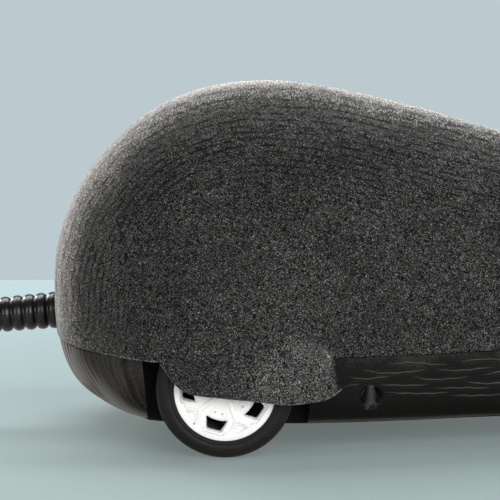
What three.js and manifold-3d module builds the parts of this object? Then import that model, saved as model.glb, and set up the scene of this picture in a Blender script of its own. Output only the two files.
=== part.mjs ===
// Robotic mouse cat toy: a flocked shell over a black chassis, two driven rear wheels, a front caster.
// Millimetres. +X points to the nose, +Y to the toy's left, +Z up, and the floor is at zero height.
import * as THREE from "three";
import { mergeVertices } from "three/addons/utils/BufferGeometryUtils.js";
import Module from "manifold-3d";

const wasm = await Module();
wasm.setup();

// Driving sizes of the body
const bodyLength = 210;
const bodyHeight = 69.4;
const bodyHalfWidth = 34;
const rearOverhang = 34.5;
const bellyHeight = 5.2;
const partingHeight = 19.3;
const chinPartingHeight = 9.5;
const shellWall = 1.8;
const chassisWall = 1.6;
const chassisInset = 0.5;

// Clearances
const seatGap = 0.3;
const runGap = 0.15;
const fitGap = 0.1;
const overrun = 2;
const weldDistance = 0.0001;

// Haunch over each rear wheel, and the paws
const haunchBulge = 6.3;
const haunchReach = 19;
const haunchRise = 22;
const haunchAhead = -2;
const haunchHeight = 14;
const rearPaw = { x: 12.8, y: 35, z: 16.3, length: 10.6, depth: 6.8, height: 7.6 };
const frontPawSize = { y: 14.6, z: 9.8, length: 10, depth: 4.6, height: 4.4 };

// Rear wheels
const wheelRadius = 13.5;
const wheelOuterFace = 37.5;
const tyreWidth = 8.5;
const tyreShoulder = 2.4;
const rimRadius = 10;
const rimBand = 1.1;
const rimFaceSet = 0.5;
const archGap = 0.6;
const rimPlate = 1.9;
const rimHubRadius = 2.6;
const rimCapRadius = 1.75;
const rimCapRise = 0.5;
const windowInner = 6.1;
const windowOuter = 8.3;
const windowInnerHalfAngle = 0.36;
const windowOuterHalfAngle = 0.2;
const windowPhase = 0.667;
const windowCount = 5;
const bushRadius = 2.4;
const wellRearTop = -16.4;
const wellRearFoot = -14.6;
const wellFrontFoot = 15.4;
const wellFrontTop = 17.6;
const spokeRidgeWidth = 0.9;
const spokeRidgeRise = 0.5;
const spokeRidgeReach = 7;
const axleRadius = 1;

// Gear train
const gearModule = 0.5;
const pressureAngle = THREE.MathUtils.degToRad(25);
const addendumShare = 0.95;
const dedendumShare = 1.2;
const toothBacklash = 0.1;
const finalToothCount = 22;
const smallToothCount = 10;
const bigToothCount = 24;
const pinionToothCount = 10;
const compoundBearing = THREE.MathUtils.degToRad(10);
const motorBearing = THREE.MathUtils.degToRad(5);
const outerGearFace = 24.5;
const outerGearWidth = 2;
const innerGearFace = 21.9;
const innerGearWidth = 1.8;
const compoundPinRadius = 0.9;

// Gearbox bracket
const bracketPlate = 1.5;
const bracketOuterFace = 26.4;
const bracketInnerFace = 18;
const bracketTop = 23.6;
const bracketRear = -4.5;
const bracketFront = 25;
const bracketCorner = 4;
const wellWall = 1.5;

// Motors
const motorRadius = 7.7;
const motorFlat = 6;
const motorLength = 16.5;
const motorBossRadius = 2.5;
const motorBossLength = 1.2;
const motorShaftRadius = 0.75;
const motorShaftSeat = 3;
const motorShaftEnd = 22.6;

// Batteries and their bay
const cellRadius = 5.25;
const cellLength = 43.7;
const cellTipRadius = 1.9;
const cellTip = 0.8;
const cellPitch = 11.2;
const bayRear = 29.4;
const bayWall = 1.2;
const contactSheet = 0.4;
const contactBulge = 1.1;
const contactHalfWidth = 3.4;
const contactHeight = 7.5;

// Battery door
const doorTabLength = 2.3;
const doorTabWidth = 4;
const doorTabThickness = 1.2;
const doorTabOffset = 10;
const doorEarLength = 7;
const doorEarHalfWidth = 4.4;
const doorRib = 0.5;

// Screws
const screwHeadRadius = 2.2;
const screwHeadHeight = 1.1;
const screwRadius = 1;
const shellScrewLength = 22;
const doorScrewLength = 7;
const bossRadius = 3;
const rearScrewX = -12;
const rearScrewY = 13;
const frontScrewLead = 5.9;
const frontScrewY = 14;
const shellPostInsert = 10;

// Switch and circuit board
const switchLength = 9;
const switchHalfWidth = 3;
const switchHeight = 4.4;
const sliderTravel = 2.5;
const sliderLength = 2.4;
const sliderHalfWidth = 1.2;
const sliderHeight = 3.4;
const boardHalfWidth = 9.6;
const boardHeight = 16.4;
const boardThickness = 1.2;
const boardPostRadius = 1.4;
const boardPostInset = 2.4;
const chipLength = 7.5;
const chipWidth = 5;
const chipHeight = 1.6;

// Front caster
const casterTrail = 3;
const casterRadius = 4.5;
const casterHalfWidth = 2.1;
const casterCrown = 0.6;
const casterPinRadius = 0.75;
const casterCheek = 1.2;
const casterCheekHalfLength = 2.4;
const casterWellRadius = 9.6;
const casterWellTop = 14;
const casterPlateRadius = 7.5;
const casterPlate = 1.5;
const casterStemRadius = 2;
const casterBossRadius = 4;
const casterBossTop = 18.6;
const casterSnapRadius = 2.7;
const casterSnapHeight = 1.2;

// Tail
const tailRootRadius = 3;
const tailRibRadius = 3.7;
const tailTipRadius = 1.3;
const tailRibPitch = 2.41;
const tailSlope = 0.096;
const tailExitHeight = 23.1;
const tailFlangeRadius = 4.7;
const tailFlange = 1.4;
const tailFlangeSet = 2.2;
const tailReach = 150;
const tailLowHeight = 4.8;
const tailTipHeight = 6.4;
const tailStraight = 14;

// Head
const earRadius = 8.6;
const earDepth = 2.6;
const earSheet = 1.3;
const earStand = 5.4;
const earPegRadius = 1.6;
const earPegLength = 6;
const eyeRadius = 3;
const noseRadius = 3.4;
const whiskerLength = 30;
const whiskerRadius = 0.28;
const whiskerPadRadius = 2.4;
const whiskerPadThickness = 1.6;
const earAlongShare = 0.672;
const earAngleShare = 0.3;
const earFacingShare = 0.55;
const earLiftShare = 0.15;
const eyeAlongShare = 0.777;
const eyeAngleShare = 0.24;
const padAlongShare = 0.86;
const padAngleShare = 0.12;

// Relief in each side of the chassis
const reliefX = 28.6;
const reliefHeight = 11.3;
const reliefRadius = 2.45;
const reliefDepth = 1.1;
const reliefRibTopRadius = 0.7;
const reliefRibFootRadius = 1.25;

// Counts
const fineGrain = { spans: 32, upperSteps: 12, lowerSteps: 10 };
const coarseGrain = { spans: 16, upperSteps: 8, lowerSteps: 6 };
const partingStepCount = 8;
const searchStepCount = 200;
const shoulderStepCount = 3;
const windowStepCount = 3;
const motorStepCount = 5;
const earStepCount = 3;
const screwSideCount = 10;
const whiskerSideCount = 3;
const roundSideCount = 12;
const boreSideCount = 8;
const wheelSideCount = 24;
const pawSideCount = 12;
const ballSideCount = 12;
const casterSideCount = 18;
const tailSideCount = 8;

// Rows of the body's form, from the rear to the nose. Each holds the share of the length, the shares of the
// height for the top, the widest line and the underside, and the share of the half width.
const stationShares = [
  [0, 0.389, 0.389, 0.389, 0],
  [0.0007, 0.478, 0.389, 0.31, 0.159],
  [0.0033, 0.533, 0.383, 0.248, 0.3],
  [0.011, 0.612, 0.367, 0.187, 0.485],
  [0.026, 0.71, 0.334, 0.138, 0.676],
  [0.0495, 0.801, 0.297, 0.1, 0.835],
  [0.0805, 0.89, 0.28, 0.07, 0.944],
  [0.126, 0.964, 0.278, 0.067, 0.997],
  [0.183, 1, 0.278, 0.066, 1],
  [0.25, 0.99, 0.278, 0.066, 0.994],
  [0.345, 0.927, 0.278, 0.066, 0.871],
  [0.424, 0.86, 0.278, 0.066, 0.735],
  [0.521, 0.777, 0.278, 0.066, 0.641],
  [0.617, 0.7, 0.272, 0.066, 0.588],
  [0.7, 0.634, 0.26, 0.066, 0.553],
  [0.783, 0.54, 0.245, 0.066, 0.471],
  [0.86, 0.434, 0.225, 0.07, 0.359],
  [0.926, 0.337, 0.209, 0.104, 0.241],
  [0.969, 0.277, 0.2, 0.13, 0.147],
  [0.993, 0.236, 0.196, 0.159, 0.07],
  [1, 0.195, 0.195, 0.195, 0],
];
const upperRoundShare = 2.25;
const lowerRoundShare = 2.4;
const lowerSquareShare = 7;
const partingDropStartShare = 0.602;
const partingDropEndShare = 0.879;
const frontPawShare = 0.774;
const boardLeadShare = 0.107;
const boardLengthShare = 0.19;
const switchLeadShare = 0.087;
const casterLeadShare = 0.154;
const squareStartShare = 0.04;
const squareFullShare = 0.12;
const squareEndShare = 0.88;
const insetReachShare = 3;
const curveTensionShare = 0.5;
const probeShare = 0.001;

// The fender's lower edge, from behind the wheel over the paw to the toe, in shares of the wheel's radius
// along X and of the parting height
const fenderEdgeShares = [
  [-0.963, 1],
  [-0.874, 0.933],
  [-0.756, 0.808],
  [-0.622, 0.725],
  [-0.444, 0.679],
  [0.022, 0.653],
  [0.57, 0.617],
  [1.007, 0.601],
  [1.267, 0.627],
  [1.556, 0.689],
  [1.733, 0.777],
  [1.733, 1],
];

// The tail's fall to the floor, in shares of its reach and of its drop
const tailFallShares = [
  [0.32, 0.38],
  [0.55, 0.82],
  [0.78, 1],
];

// How far each whisker leans back and up, in shares of its reach outwards
const whiskerLeanShares = [
  [-0.5, 0.5],
  [-0.25, 0.15],
  [-0.45, -0.2],
  [-0.1, 0.4],
  [-0.15, -0.35],
  [-0.7, 0.1],
];
const cradleShares = [0.25, 0.75];

// Places worked out from the driving sizes
const rearX = -rearOverhang;
const noseX = rearX + bodyLength;
const axleHeight = wheelRadius;
const floorTop = bellyHeight + chassisWall;
const wheelInnerFace = wheelOuterFace - tyreWidth;
const wellInnerFace = bracketOuterFace + seatGap + wellWall;
const bracketFloor = floorTop + seatGap;
const partingDropStart = rearX + bodyLength * partingDropStartShare;
const partingDropEnd = rearX + bodyLength * partingDropEndShare;
const frontPaw = { ...frontPawSize, x: rearX + bodyLength * frontPawShare };
const cellCentre = floorTop + seatGap + cellRadius;
const bayHalfWidth = cellPitch + cellRadius + seatGap;
const bayFront = bayRear + 2 * (contactBulge + contactSheet + 2 * seatGap) + cellLength + cellTip;
const bayTop = cellCentre + cellRadius + seatGap;
const doorScrewX = bayFront + doorEarLength / 2;
const frontScrewX = bayFront + frontScrewLead;
const frontRoom = noseX - bayFront;
const boardRear = bayFront + frontRoom * boardLeadShare;
const boardFront = boardRear + frontRoom * boardLengthShare;
const switchX = boardRear + frontRoom * switchLeadShare;
const casterX = boardFront + frontRoom * casterLeadShare;

const materials = {
  flock: new THREE.MeshStandardMaterial({ color: 0x3b3b3b, roughness: 1, metalness: 0 }),
  blackAbs: new THREE.MeshStandardMaterial({ color: 0x1c1c1b, roughness: 0.45, metalness: 0 }),
  innerAbs: new THREE.MeshStandardMaterial({ color: 0x2b2b2d, roughness: 0.6, metalness: 0 }),
  whiteAbs: new THREE.MeshStandardMaterial({ color: 0xf4f4f2, roughness: 0.2, metalness: 0 }),
  tyreRubber: new THREE.MeshStandardMaterial({ color: 0x242423, roughness: 0.65, metalness: 0 }),
  tailRubber: new THREE.MeshStandardMaterial({ color: 0x171717, roughness: 0.3, metalness: 0 }),
  softPvc: new THREE.MeshStandardMaterial({ color: 0x2a2827, roughness: 0.55, metalness: 0 }),
  beadBlack: new THREE.MeshStandardMaterial({ color: 0x050505, roughness: 0.08, metalness: 0 }),
  whiskerNylon: new THREE.MeshStandardMaterial({ color: 0x1a1a1a, roughness: 0.35, metalness: 0 }),
  acetal: new THREE.MeshStandardMaterial({ color: 0xe6e3d8, roughness: 0.4, metalness: 0 }),
  steel: new THREE.MeshStandardMaterial({ color: 0xb8babd, roughness: 0.3, metalness: 1 }),
  brass: new THREE.MeshStandardMaterial({ color: 0xc9a658, roughness: 0.3, metalness: 1 }),
  cellSleeve: new THREE.MeshStandardMaterial({ color: 0x3d6b58, roughness: 0.35, metalness: 0.2 }),
  boardLaminate: new THREE.MeshStandardMaterial({ color: 0x1f5a3a, roughness: 0.5, metalness: 0 }),
  chipEpoxy: new THREE.MeshStandardMaterial({ color: 0x111213, roughness: 0.5, metalness: 0 }),
};

// Closed solids from geometry, and back
function toSolid(geometry) {
  const bare = geometry.clone();
  for (const key of Object.keys(bare.attributes)) {
    if (key !== "position") {
      bare.deleteAttribute(key);
    }
  }
  const welded = mergeVertices(bare, weldDistance);
  const corners = [];
  const source = welded.index.array;
  for (let i = 0; i < source.length; i += 3) {
    const [a, b, c] = source.slice(i, i + 3);
    if (a !== b && b !== c && c !== a) {
      corners.push(a, b, c);
    }
  }
  const places = new Float32Array(welded.attributes.position.array);
  if (signedVolume(places, corners) < 0) {
    corners.reverse();
  }
  const triVerts = Uint32Array.from(corners);
  return new wasm.Manifold(new wasm.Mesh({ numProp: 3, vertProperties: places, triVerts }));
}

function signedVolume(places, corners) {
  const point = (index) => new THREE.Vector3().fromArray(places, index * 3);
  let volume = 0;
  for (let i = 0; i < corners.length; i += 3) {
    volume += point(corners[i]).dot(point(corners[i + 1]).cross(point(corners[i + 2])));
  }
  return volume;
}

function toGeometry(solid) {
  const mesh = solid.getMesh();
  const geometry = new THREE.BufferGeometry();
  geometry.setAttribute("position", new THREE.BufferAttribute(mesh.vertProperties, mesh.numProp));
  geometry.setIndex(new THREE.BufferAttribute(mesh.triVerts, 1));
  geometry.computeVertexNormals();
  return geometry;
}

function joined(solids) {
  return solids.reduce((sum, solid) => sum.add(solid));
}

function piece(name, shape, material, position = [0, 0, 0]) {
  const solid = shape.isBufferGeometry ? toSolid(shape) : shape;
  const mesh = new THREE.Mesh(toGeometry(solid), material);
  mesh.name = name;
  mesh.position.set(...position);
  return mesh;
}

// Basic shapes. A rod stands on the XY plane, a turned shape revolves about Z.
function block(low, high) {
  const size = high.map((value, axis) => value - low[axis]);
  const middle = high.map((value, axis) => (value + low[axis]) / 2);
  return toSolid(new THREE.BoxGeometry(...size).translate(...middle));
}

function rodGeometry(radius, length, sides = roundSideCount, topRadius = radius) {
  const rod = new THREE.CylinderGeometry(topRadius, radius, length, sides);
  return rod.rotateX(Math.PI / 2).translate(0, 0, length / 2);
}

function rod(radius, low, high, x = 0, y = 0, sides = roundSideCount) {
  return toSolid(rodGeometry(radius, high - low, sides).translate(x, y, low));
}

function rodAcross(radius, nearY, farY, x, z, sides = roundSideCount) {
  const geometry = rodGeometry(radius, farY - nearY, sides).rotateX(-Math.PI / 2);
  return toSolid(geometry.translate(x, nearY, z));
}

function turned(profile, sides = roundSideCount) {
  const points = profile.map(([radius, height]) => new THREE.Vector2(radius, height));
  return new THREE.LatheGeometry(points, sides).rotateX(Math.PI / 2);
}

function plate(outline, thickness, holes = []) {
  const shape = new THREE.Shape(outline.map(([x, y]) => new THREE.Vector2(x, y)));
  shape.holes = holes.map((hole) => new THREE.Path(hole.map(([x, y]) => new THREE.Vector2(x, y))));
  return new THREE.ExtrudeGeometry(shape, { depth: thickness, bevelEnabled: false });
}

// An outline in X and Z, carried from one Y to another
function slab(outline, nearY, farY) {
  const geometry = plate(outline, farY - nearY).rotateX(Math.PI / 2);
  return toSolid(geometry.translate(0, farY, 0));
}

function circle(radius, sides = roundSideCount, x = 0, y = 0) {
  const turn = (2 * Math.PI) / sides;
  const at = (k) => [x + radius * Math.cos(k * turn), y + radius * Math.sin(k * turn)];
  return Array.from({ length: sides }, (_, k) => at(k));
}

function ellipsoid(form, side, inset = 0) {
  const ball = new THREE.SphereGeometry(1, pawSideCount, pawSideCount / 2).rotateX(Math.PI / 2);
  ball.scale(form.length - inset, form.depth - inset, form.height - inset);
  return toSolid(ball.translate(form.x, side * form.y, form.z));
}

// The body's form: sections along X through the stations, each a rounded arch over a squarer lower half
const lineOf = (columns) => {
  const points = stationShares.map((row) => new THREE.Vector3(...columns.map((column) => row[column])));
  return new THREE.CatmullRomCurve3(points, false, "catmullrom", curveTensionShare);
};
const heightLine = lineOf([0, 1, 3]);
const widthLine = lineOf([0, 2, 4]);

function sectionAt(along) {
  const heights = heightLine.getPoint(along);
  const widths = widthLine.getPoint(along);
  const square = THREE.MathUtils.smoothstep(heights.x, squareStartShare, squareFullShare)
    * (1 - THREE.MathUtils.smoothstep(heights.x, squareEndShare, 1));
  return {
    x: rearX + bodyLength * heights.x,
    top: bodyHeight * heights.y,
    bottom: bodyHeight * heights.z,
    middle: bodyHeight * widths.y,
    halfWidth: bodyHalfWidth * widths.z,
    lowerShare: THREE.MathUtils.lerp(lowerRoundShare, lowerSquareShare, square),
  };
}

function haunchAt(x, z) {
  const along = (x - haunchAhead) / haunchReach;
  const up = (z - haunchHeight) / haunchRise;
  return haunchBulge * Math.exp(-(along ** 4) - up ** 4);
}

// A point of the skin: along runs from the rear to the nose, angle from the left side over the top
function skinPoint(along, angle, bulged, inset, bellyInset) {
  const section = sectionAt(along);
  const fullReach = (by) => insetReachShare * Math.max(by, weldDistance);
  const drawIn = (reach, by) => reach - by * Math.min(1, reach / fullReach(by));
  const isUpper = Math.sin(angle) >= 0;
  const power = 2 / (isUpper ? upperRoundShare : section.lowerShare);
  const across = Math.sign(Math.cos(angle)) * Math.abs(Math.cos(angle)) ** power;
  const up = Math.sign(Math.sin(angle)) * Math.abs(Math.sin(angle)) ** power;
  const reach = isUpper ? section.top - section.middle : section.middle - section.bottom;
  const z = section.middle + up * drawIn(reach, isUpper ? inset : bellyInset);
  const shrink = (bodyLength - 2 * inset) / bodyLength;
  const x = rearX + inset + (section.x - rearX) * shrink;
  const bulge = bulged ? haunchAt(section.x, z) * across : 0;
  return new THREE.Vector3(x, across * drawIn(section.halfWidth, inset) + bulge, z);
}

function bodyForm({ bulged, inset, bellyInset = inset, grain = fineGrain }) {
  const { spans, upperSteps, lowerSteps } = grain;
  const around = upperSteps + lowerSteps;
  const places = [];
  const corners = [];
  const angleAt = (k) => (k < upperSteps ? k / upperSteps : 1 + (k - upperSteps) / lowerSteps) * Math.PI;
  for (let ring = 1; ring < spans; ring += 1) {
    for (let k = 0; k < around; k += 1) {
      places.push(...skinPoint(ring / spans, angleAt(k), bulged, inset, bellyInset));
    }
  }
  const rearPole = places.length / 3;
  places.push(...skinPoint(0, 0, bulged, inset, bellyInset));
  places.push(...skinPoint(1, 0, bulged, inset, bellyInset));
  for (let k = 0; k < around; k += 1) {
    const next = (k + 1) % around;
    const last = (spans - 2) * around;
    corners.push(rearPole, next, k, rearPole + 1, last + k, last + next);
    for (let ring = 0; ring < spans - 2; ring += 1) {
      const low = ring * around;
      const high = low + around;
      corners.push(low + k, low + next, high + k, low + next, high + next, high + k);
    }
  }
  const geometry = new THREE.BufferGeometry();
  geometry.setAttribute("position", new THREE.Float32BufferAttribute(places, 3));
  geometry.setIndex(corners);
  return toSolid(geometry);
}

// The line where shell and chassis part, level at the rear and dropping under the chin
function partingAt(x) {
  const drop = THREE.MathUtils.smoothstep(x, partingDropStart, partingDropEnd);
  return THREE.MathUtils.lerp(partingHeight, chinPartingHeight, drop);
}

function partingOutline(offset, closeHeight) {
  const line = [[rearX - overrun, partingHeight + offset]];
  for (let k = 0; k <= partingStepCount; k += 1) {
    const x = THREE.MathUtils.lerp(partingDropStart, partingDropEnd, k / partingStepCount);
    line.push([x, partingAt(x) + offset]);
  }
  const front = noseX + noseRadius + overrun;
  line.push([front, chinPartingHeight + offset], [front, closeHeight], [rearX - overrun, closeHeight]);
  return line;
}

const widest = bodyHalfWidth + haunchBulge + rearPaw.depth + overrun;
const aboveParting = slab(partingOutline(seatGap / 2, bodyHeight + overrun), -widest, widest);
const belowParting = slab(partingOutline(-seatGap / 2, bellyHeight), -widest, widest);
const aboveFloor = block([rearX - overrun, -widest, floorTop], [noseX + overrun, widest, bodyHeight]);
const midFloor = bellyHeight + chassisWall / 2;

// The wheel well in X and Z: its rear edge leans forward and its front edge leans back
function wellOutline(grow, foot, top) {
  return [
    [wellRearFoot - grow, foot],
    [wellFrontFoot + grow, foot],
    [wellFrontTop + grow, top],
    [wellRearTop - grow, top],
  ];
}

function wellCut(side) {
  const outline = wellOutline(0, -overrun, partingHeight + overrun);
  return side < 0 ? slab(outline, -widest, -wellInnerFace) : slab(outline, wellInnerFace, widest);
}

// The part of the shell that reaches below the parting line, over the wheel and the paw
function fenderZone(side) {
  const top = partingHeight + overrun;
  const edge = fenderEdgeShares.map(([x, z]) => [x * wheelRadius, z * partingHeight]);
  const outline = [...edge, [edge.at(-1)[0], top], [edge[0][0], top]];
  return side < 0 ? slab(outline, -widest, -wellInnerFace) : slab(outline, wellInnerFace, widest);
}

// Places on the skin for what the head carries
function skinFrame(alongShare, angleShare, side) {
  const angle = Math.PI * (side > 0 ? angleShare : 1 - angleShare);
  const at = skinPoint(alongShare, angle, false, 0, 0);
  const forward = skinPoint(alongShare + probeShare, angle, false, 0, 0).sub(at);
  const round = skinPoint(alongShare, angle + probeShare, false, 0, 0).sub(at);
  const normal = forward.cross(round).normalize().negate();
  return { at, normal: normal.y * side < 0 ? normal.negate() : normal };
}

const sides = { right: -1, left: 1 };

function alongNormal(geometry, at, normal, offset = 0) {
  const turn = new THREE.Quaternion().setFromUnitVectors(new THREE.Vector3(0, 0, 1), normal);
  const place = at.clone().addScaledVector(normal, offset);
  return geometry.applyQuaternion(turn).translate(place.x, place.y, place.z);
}

function headCut(alongShare, angleShare, side, radius) {
  const { at, normal } = skinFrame(alongShare, angleShare, side);
  const drill = rodGeometry(radius, 2 * earPegLength, boreSideCount);
  return toSolid(alongNormal(drill, at, normal, -earPegLength));
}

function ball(radius, centre) {
  const geometry = new THREE.SphereGeometry(radius, ballSideCount, ballSideCount / 2);
  return toSolid(geometry.translate(centre.x, centre.y, centre.z));
}

const noseCentre = new THREE.Vector3(noseX - noseRadius / 2, 0, bodyHeight * stationShares.at(-1)[1]);

// Tail route: out of the shell on the slope that the rear wall gives it, down towards the floor, tip lifted
const tailExit = new THREE.Vector3(rearX, 0, tailExitHeight);
const tailPoint = (behind, height) => new THREE.Vector3(rearX - behind, 0, height);
const tailFall = tailFallShares.map(([reach, drop]) => (
  tailPoint(tailReach * reach, THREE.MathUtils.lerp(tailExitHeight, tailLowHeight, drop))
));
const tailRoute = new THREE.CatmullRomCurve3([
  tailPoint(-shellWall - tailFlangeSet, tailExitHeight + tailSlope * (shellWall + tailFlangeSet)),
  tailPoint(tailStraight, tailExitHeight - tailSlope * tailStraight),
  ...tailFall,
  tailPoint(tailReach, tailTipHeight),
]);

function tailBore(radius) {
  const direction = new THREE.Vector3(1, 0, tailSlope).normalize();
  const length = 2 * (shellWall + overrun);
  return toSolid(alongNormal(rodGeometry(radius, length), tailExit, direction, -length / 2));
}

// Rings along the route: the flange inside the shell, the neck through its wall, then rib after rib
function tail() {
  const length = tailRoute.getLength();
  const neckEnd = shellWall + tailFlangeSet + seatGap - tailRibPitch / 2;
  const ribs = Math.floor((length - neckEnd) / tailRibPitch);
  const rings = [
    [0, tailFlangeRadius],
    [tailFlange, tailFlangeRadius],
    [tailFlange, tailRootRadius],
  ];
  for (let k = 0; k < ribs; k += 1) {
    const taper = THREE.MathUtils.lerp(1, tailTipRadius / tailRibRadius, k / ribs);
    const start = neckEnd + k * tailRibPitch;
    rings.push([start, tailRootRadius * taper], [start + tailRibPitch / 2, tailRibRadius * taper]);
  }
  rings.push([length, tailTipRadius * (tailRootRadius / tailRibRadius)]);
  const places = [];
  const corners = [];
  for (const [distance, radius] of rings) {
    const along = Math.min(distance / length, 1);
    const centre = tailRoute.getPointAt(along);
    const tangent = tailRoute.getTangentAt(along);
    const up = new THREE.Vector3(-tangent.z, 0, tangent.x);
    for (let k = 0; k < tailSideCount; k += 1) {
      const angle = ((k + 0.5) * 2 * Math.PI) / tailSideCount;
      const rim = centre.clone().addScaledVector(up, radius * Math.sin(angle));
      places.push(rim.x, radius * Math.cos(angle), rim.z);
    }
  }
  const last = (rings.length - 1) * tailSideCount;
  for (let k = 0; k < tailSideCount; k += 1) {
    const next = (k + 1) % tailSideCount;
    for (let low = 0; low < last; low += tailSideCount) {
      const high = low + tailSideCount;
      corners.push(low + k, low + next, high + k, low + next, high + next, high + k);
    }
    if (k > 0 && next > 0) {
      corners.push(0, next, k, last, last + k, last + next);
    }
  }
  const geometry = new THREE.BufferGeometry();
  geometry.setAttribute("position", new THREE.Float32BufferAttribute(places, 3));
  geometry.setIndex(corners);
  return geometry;
}

// Upper shell: a thin skin with haunches and paws, posts for the screws and holes for the head pieces
const screwPlaces = [
  { name: "rear_right", x: rearScrewX, y: -rearScrewY },
  { name: "rear_left", x: rearScrewX, y: rearScrewY },
  { name: "front_right", x: frontScrewX, y: -frontScrewY },
  { name: "front_left", x: frontScrewX, y: frontScrewY },
];

const outerForm = bodyForm({ bulged: true, inset: 0 });
const lowerForm = bodyForm({ bulged: false, inset: -fitGap });

function upperShell() {
  const paws = Object.values(sides).flatMap((side) => [ellipsoid(rearPaw, side), ellipsoid(frontPaw, side)]);
  const hollows = Object.values(sides).map((side) => ellipsoid(rearPaw, side, shellWall));
  const outer = joined([outerForm, ...paws]);
  const inner = joined([bodyForm({ bulged: true, inset: shellWall, grain: coarseGrain }), ...hollows]);
  const posts = screwPlaces.map(({ x, y }) => (
    rod(bossRadius, partingHeight + seatGap / 2, bodyHeight, x, y, boreSideCount)
  ));
  const skin = outer.subtract(inner);
  const wells = joined([wellCut(sides.right), wellCut(sides.left)]);
  const chassisSpace = lowerForm.subtract(wells);
  const frontZone = block(
    [frontPaw.x - frontPaw.length - overrun, -widest, bellyHeight - overrun],
    [noseX, widest, partingHeight],
  );
  const pawZones = joined([fenderZone(sides.right), fenderZone(sides.left), frontZone]);
  const kept = aboveParting.add(pawZones.subtract(chassisSpace));
  const hollow = skin.intersect(kept);
  const rooted = joined(posts).intersect(outerForm);
  const holes = screwPlaces.map(({ x, y }) => (
    rod(screwRadius + fitGap, partingHeight - overrun, partingHeight + shellPostInsert, x, y, boreSideCount)
  ));
  const headHoles = Object.values(sides).flatMap((side) => [
    headCut(earAlongShare, earAngleShare, side, earPegRadius + seatGap),
    headCut(padAlongShare, padAngleShare, side, whiskerPadRadius + seatGap),
    ball(eyeRadius + seatGap, eyeCentre(side)),
  ]);
  const noseHole = ball(noseRadius + seatGap, noseCentre);
  const arches = Object.values(sides).map((side) => {
    const far = wheelOuterFace + archGap;
    const [near, end] = side < 0 ? [-far, -wheelInnerFace] : [wheelInnerFace, far];
    return rodAcross(wheelRadius + 2 * archGap, near, end, 0, axleHeight, casterSideCount);
  });
  const cuts = joined([...holes, ...headHoles, ...arches, noseHole, tailBore(tailRibRadius + seatGap)]);
  return hollow.add(rooted).subtract(cuts);
}

function eyeCentre(side) {
  const { at, normal } = skinFrame(eyeAlongShare, eyeAngleShare, side);
  return at.addScaledVector(normal, -eyeRadius / 4);
}

// Chassis: an open tub with wheel wells, battery bay, bosses, cradles, board posts and caster housing
function batteryBay() {
  const low = [bayRear - bayWall, -bayHalfWidth - bayWall, midFloor];
  const high = [bayFront + bayWall, bayHalfWidth + bayWall, bayTop + bayWall];
  return block(low, high);
}

function bayCut() {
  const room = block([bayRear, -bayHalfWidth, bellyHeight - overrun], [bayFront, bayHalfWidth, bayTop]);
  const slots = [-doorTabOffset, doorTabOffset].map((y) => block(
    [bayRear - bayWall - overrun, y - doorTabWidth / 2 - seatGap, floorTop],
    [bayRear + overrun, y + doorTabWidth / 2 + seatGap, floorTop + doorTabThickness + 3 * seatGap],
  ));
  const earRoom = block(
    [bayFront - overrun, -doorEarHalfWidth - seatGap, bellyHeight - overrun],
    [bayFront + doorEarLength + seatGap, doorEarHalfWidth + seatGap, floorTop + seatGap / 2],
  );
  return joined([room, ...slots, earRoom]);
}

function sideY(x, side) {
  let nearest = { gap: Infinity, y: 0 };
  for (let k = 0; k <= searchStepCount; k += 1) {
    const section = sectionAt(k / searchStepCount);
    const gap = Math.abs(section.x - x);
    nearest = gap < nearest.gap ? { gap, y: section.halfWidth } : nearest;
  }
  return side * (nearest.y - chassisInset);
}

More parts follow.
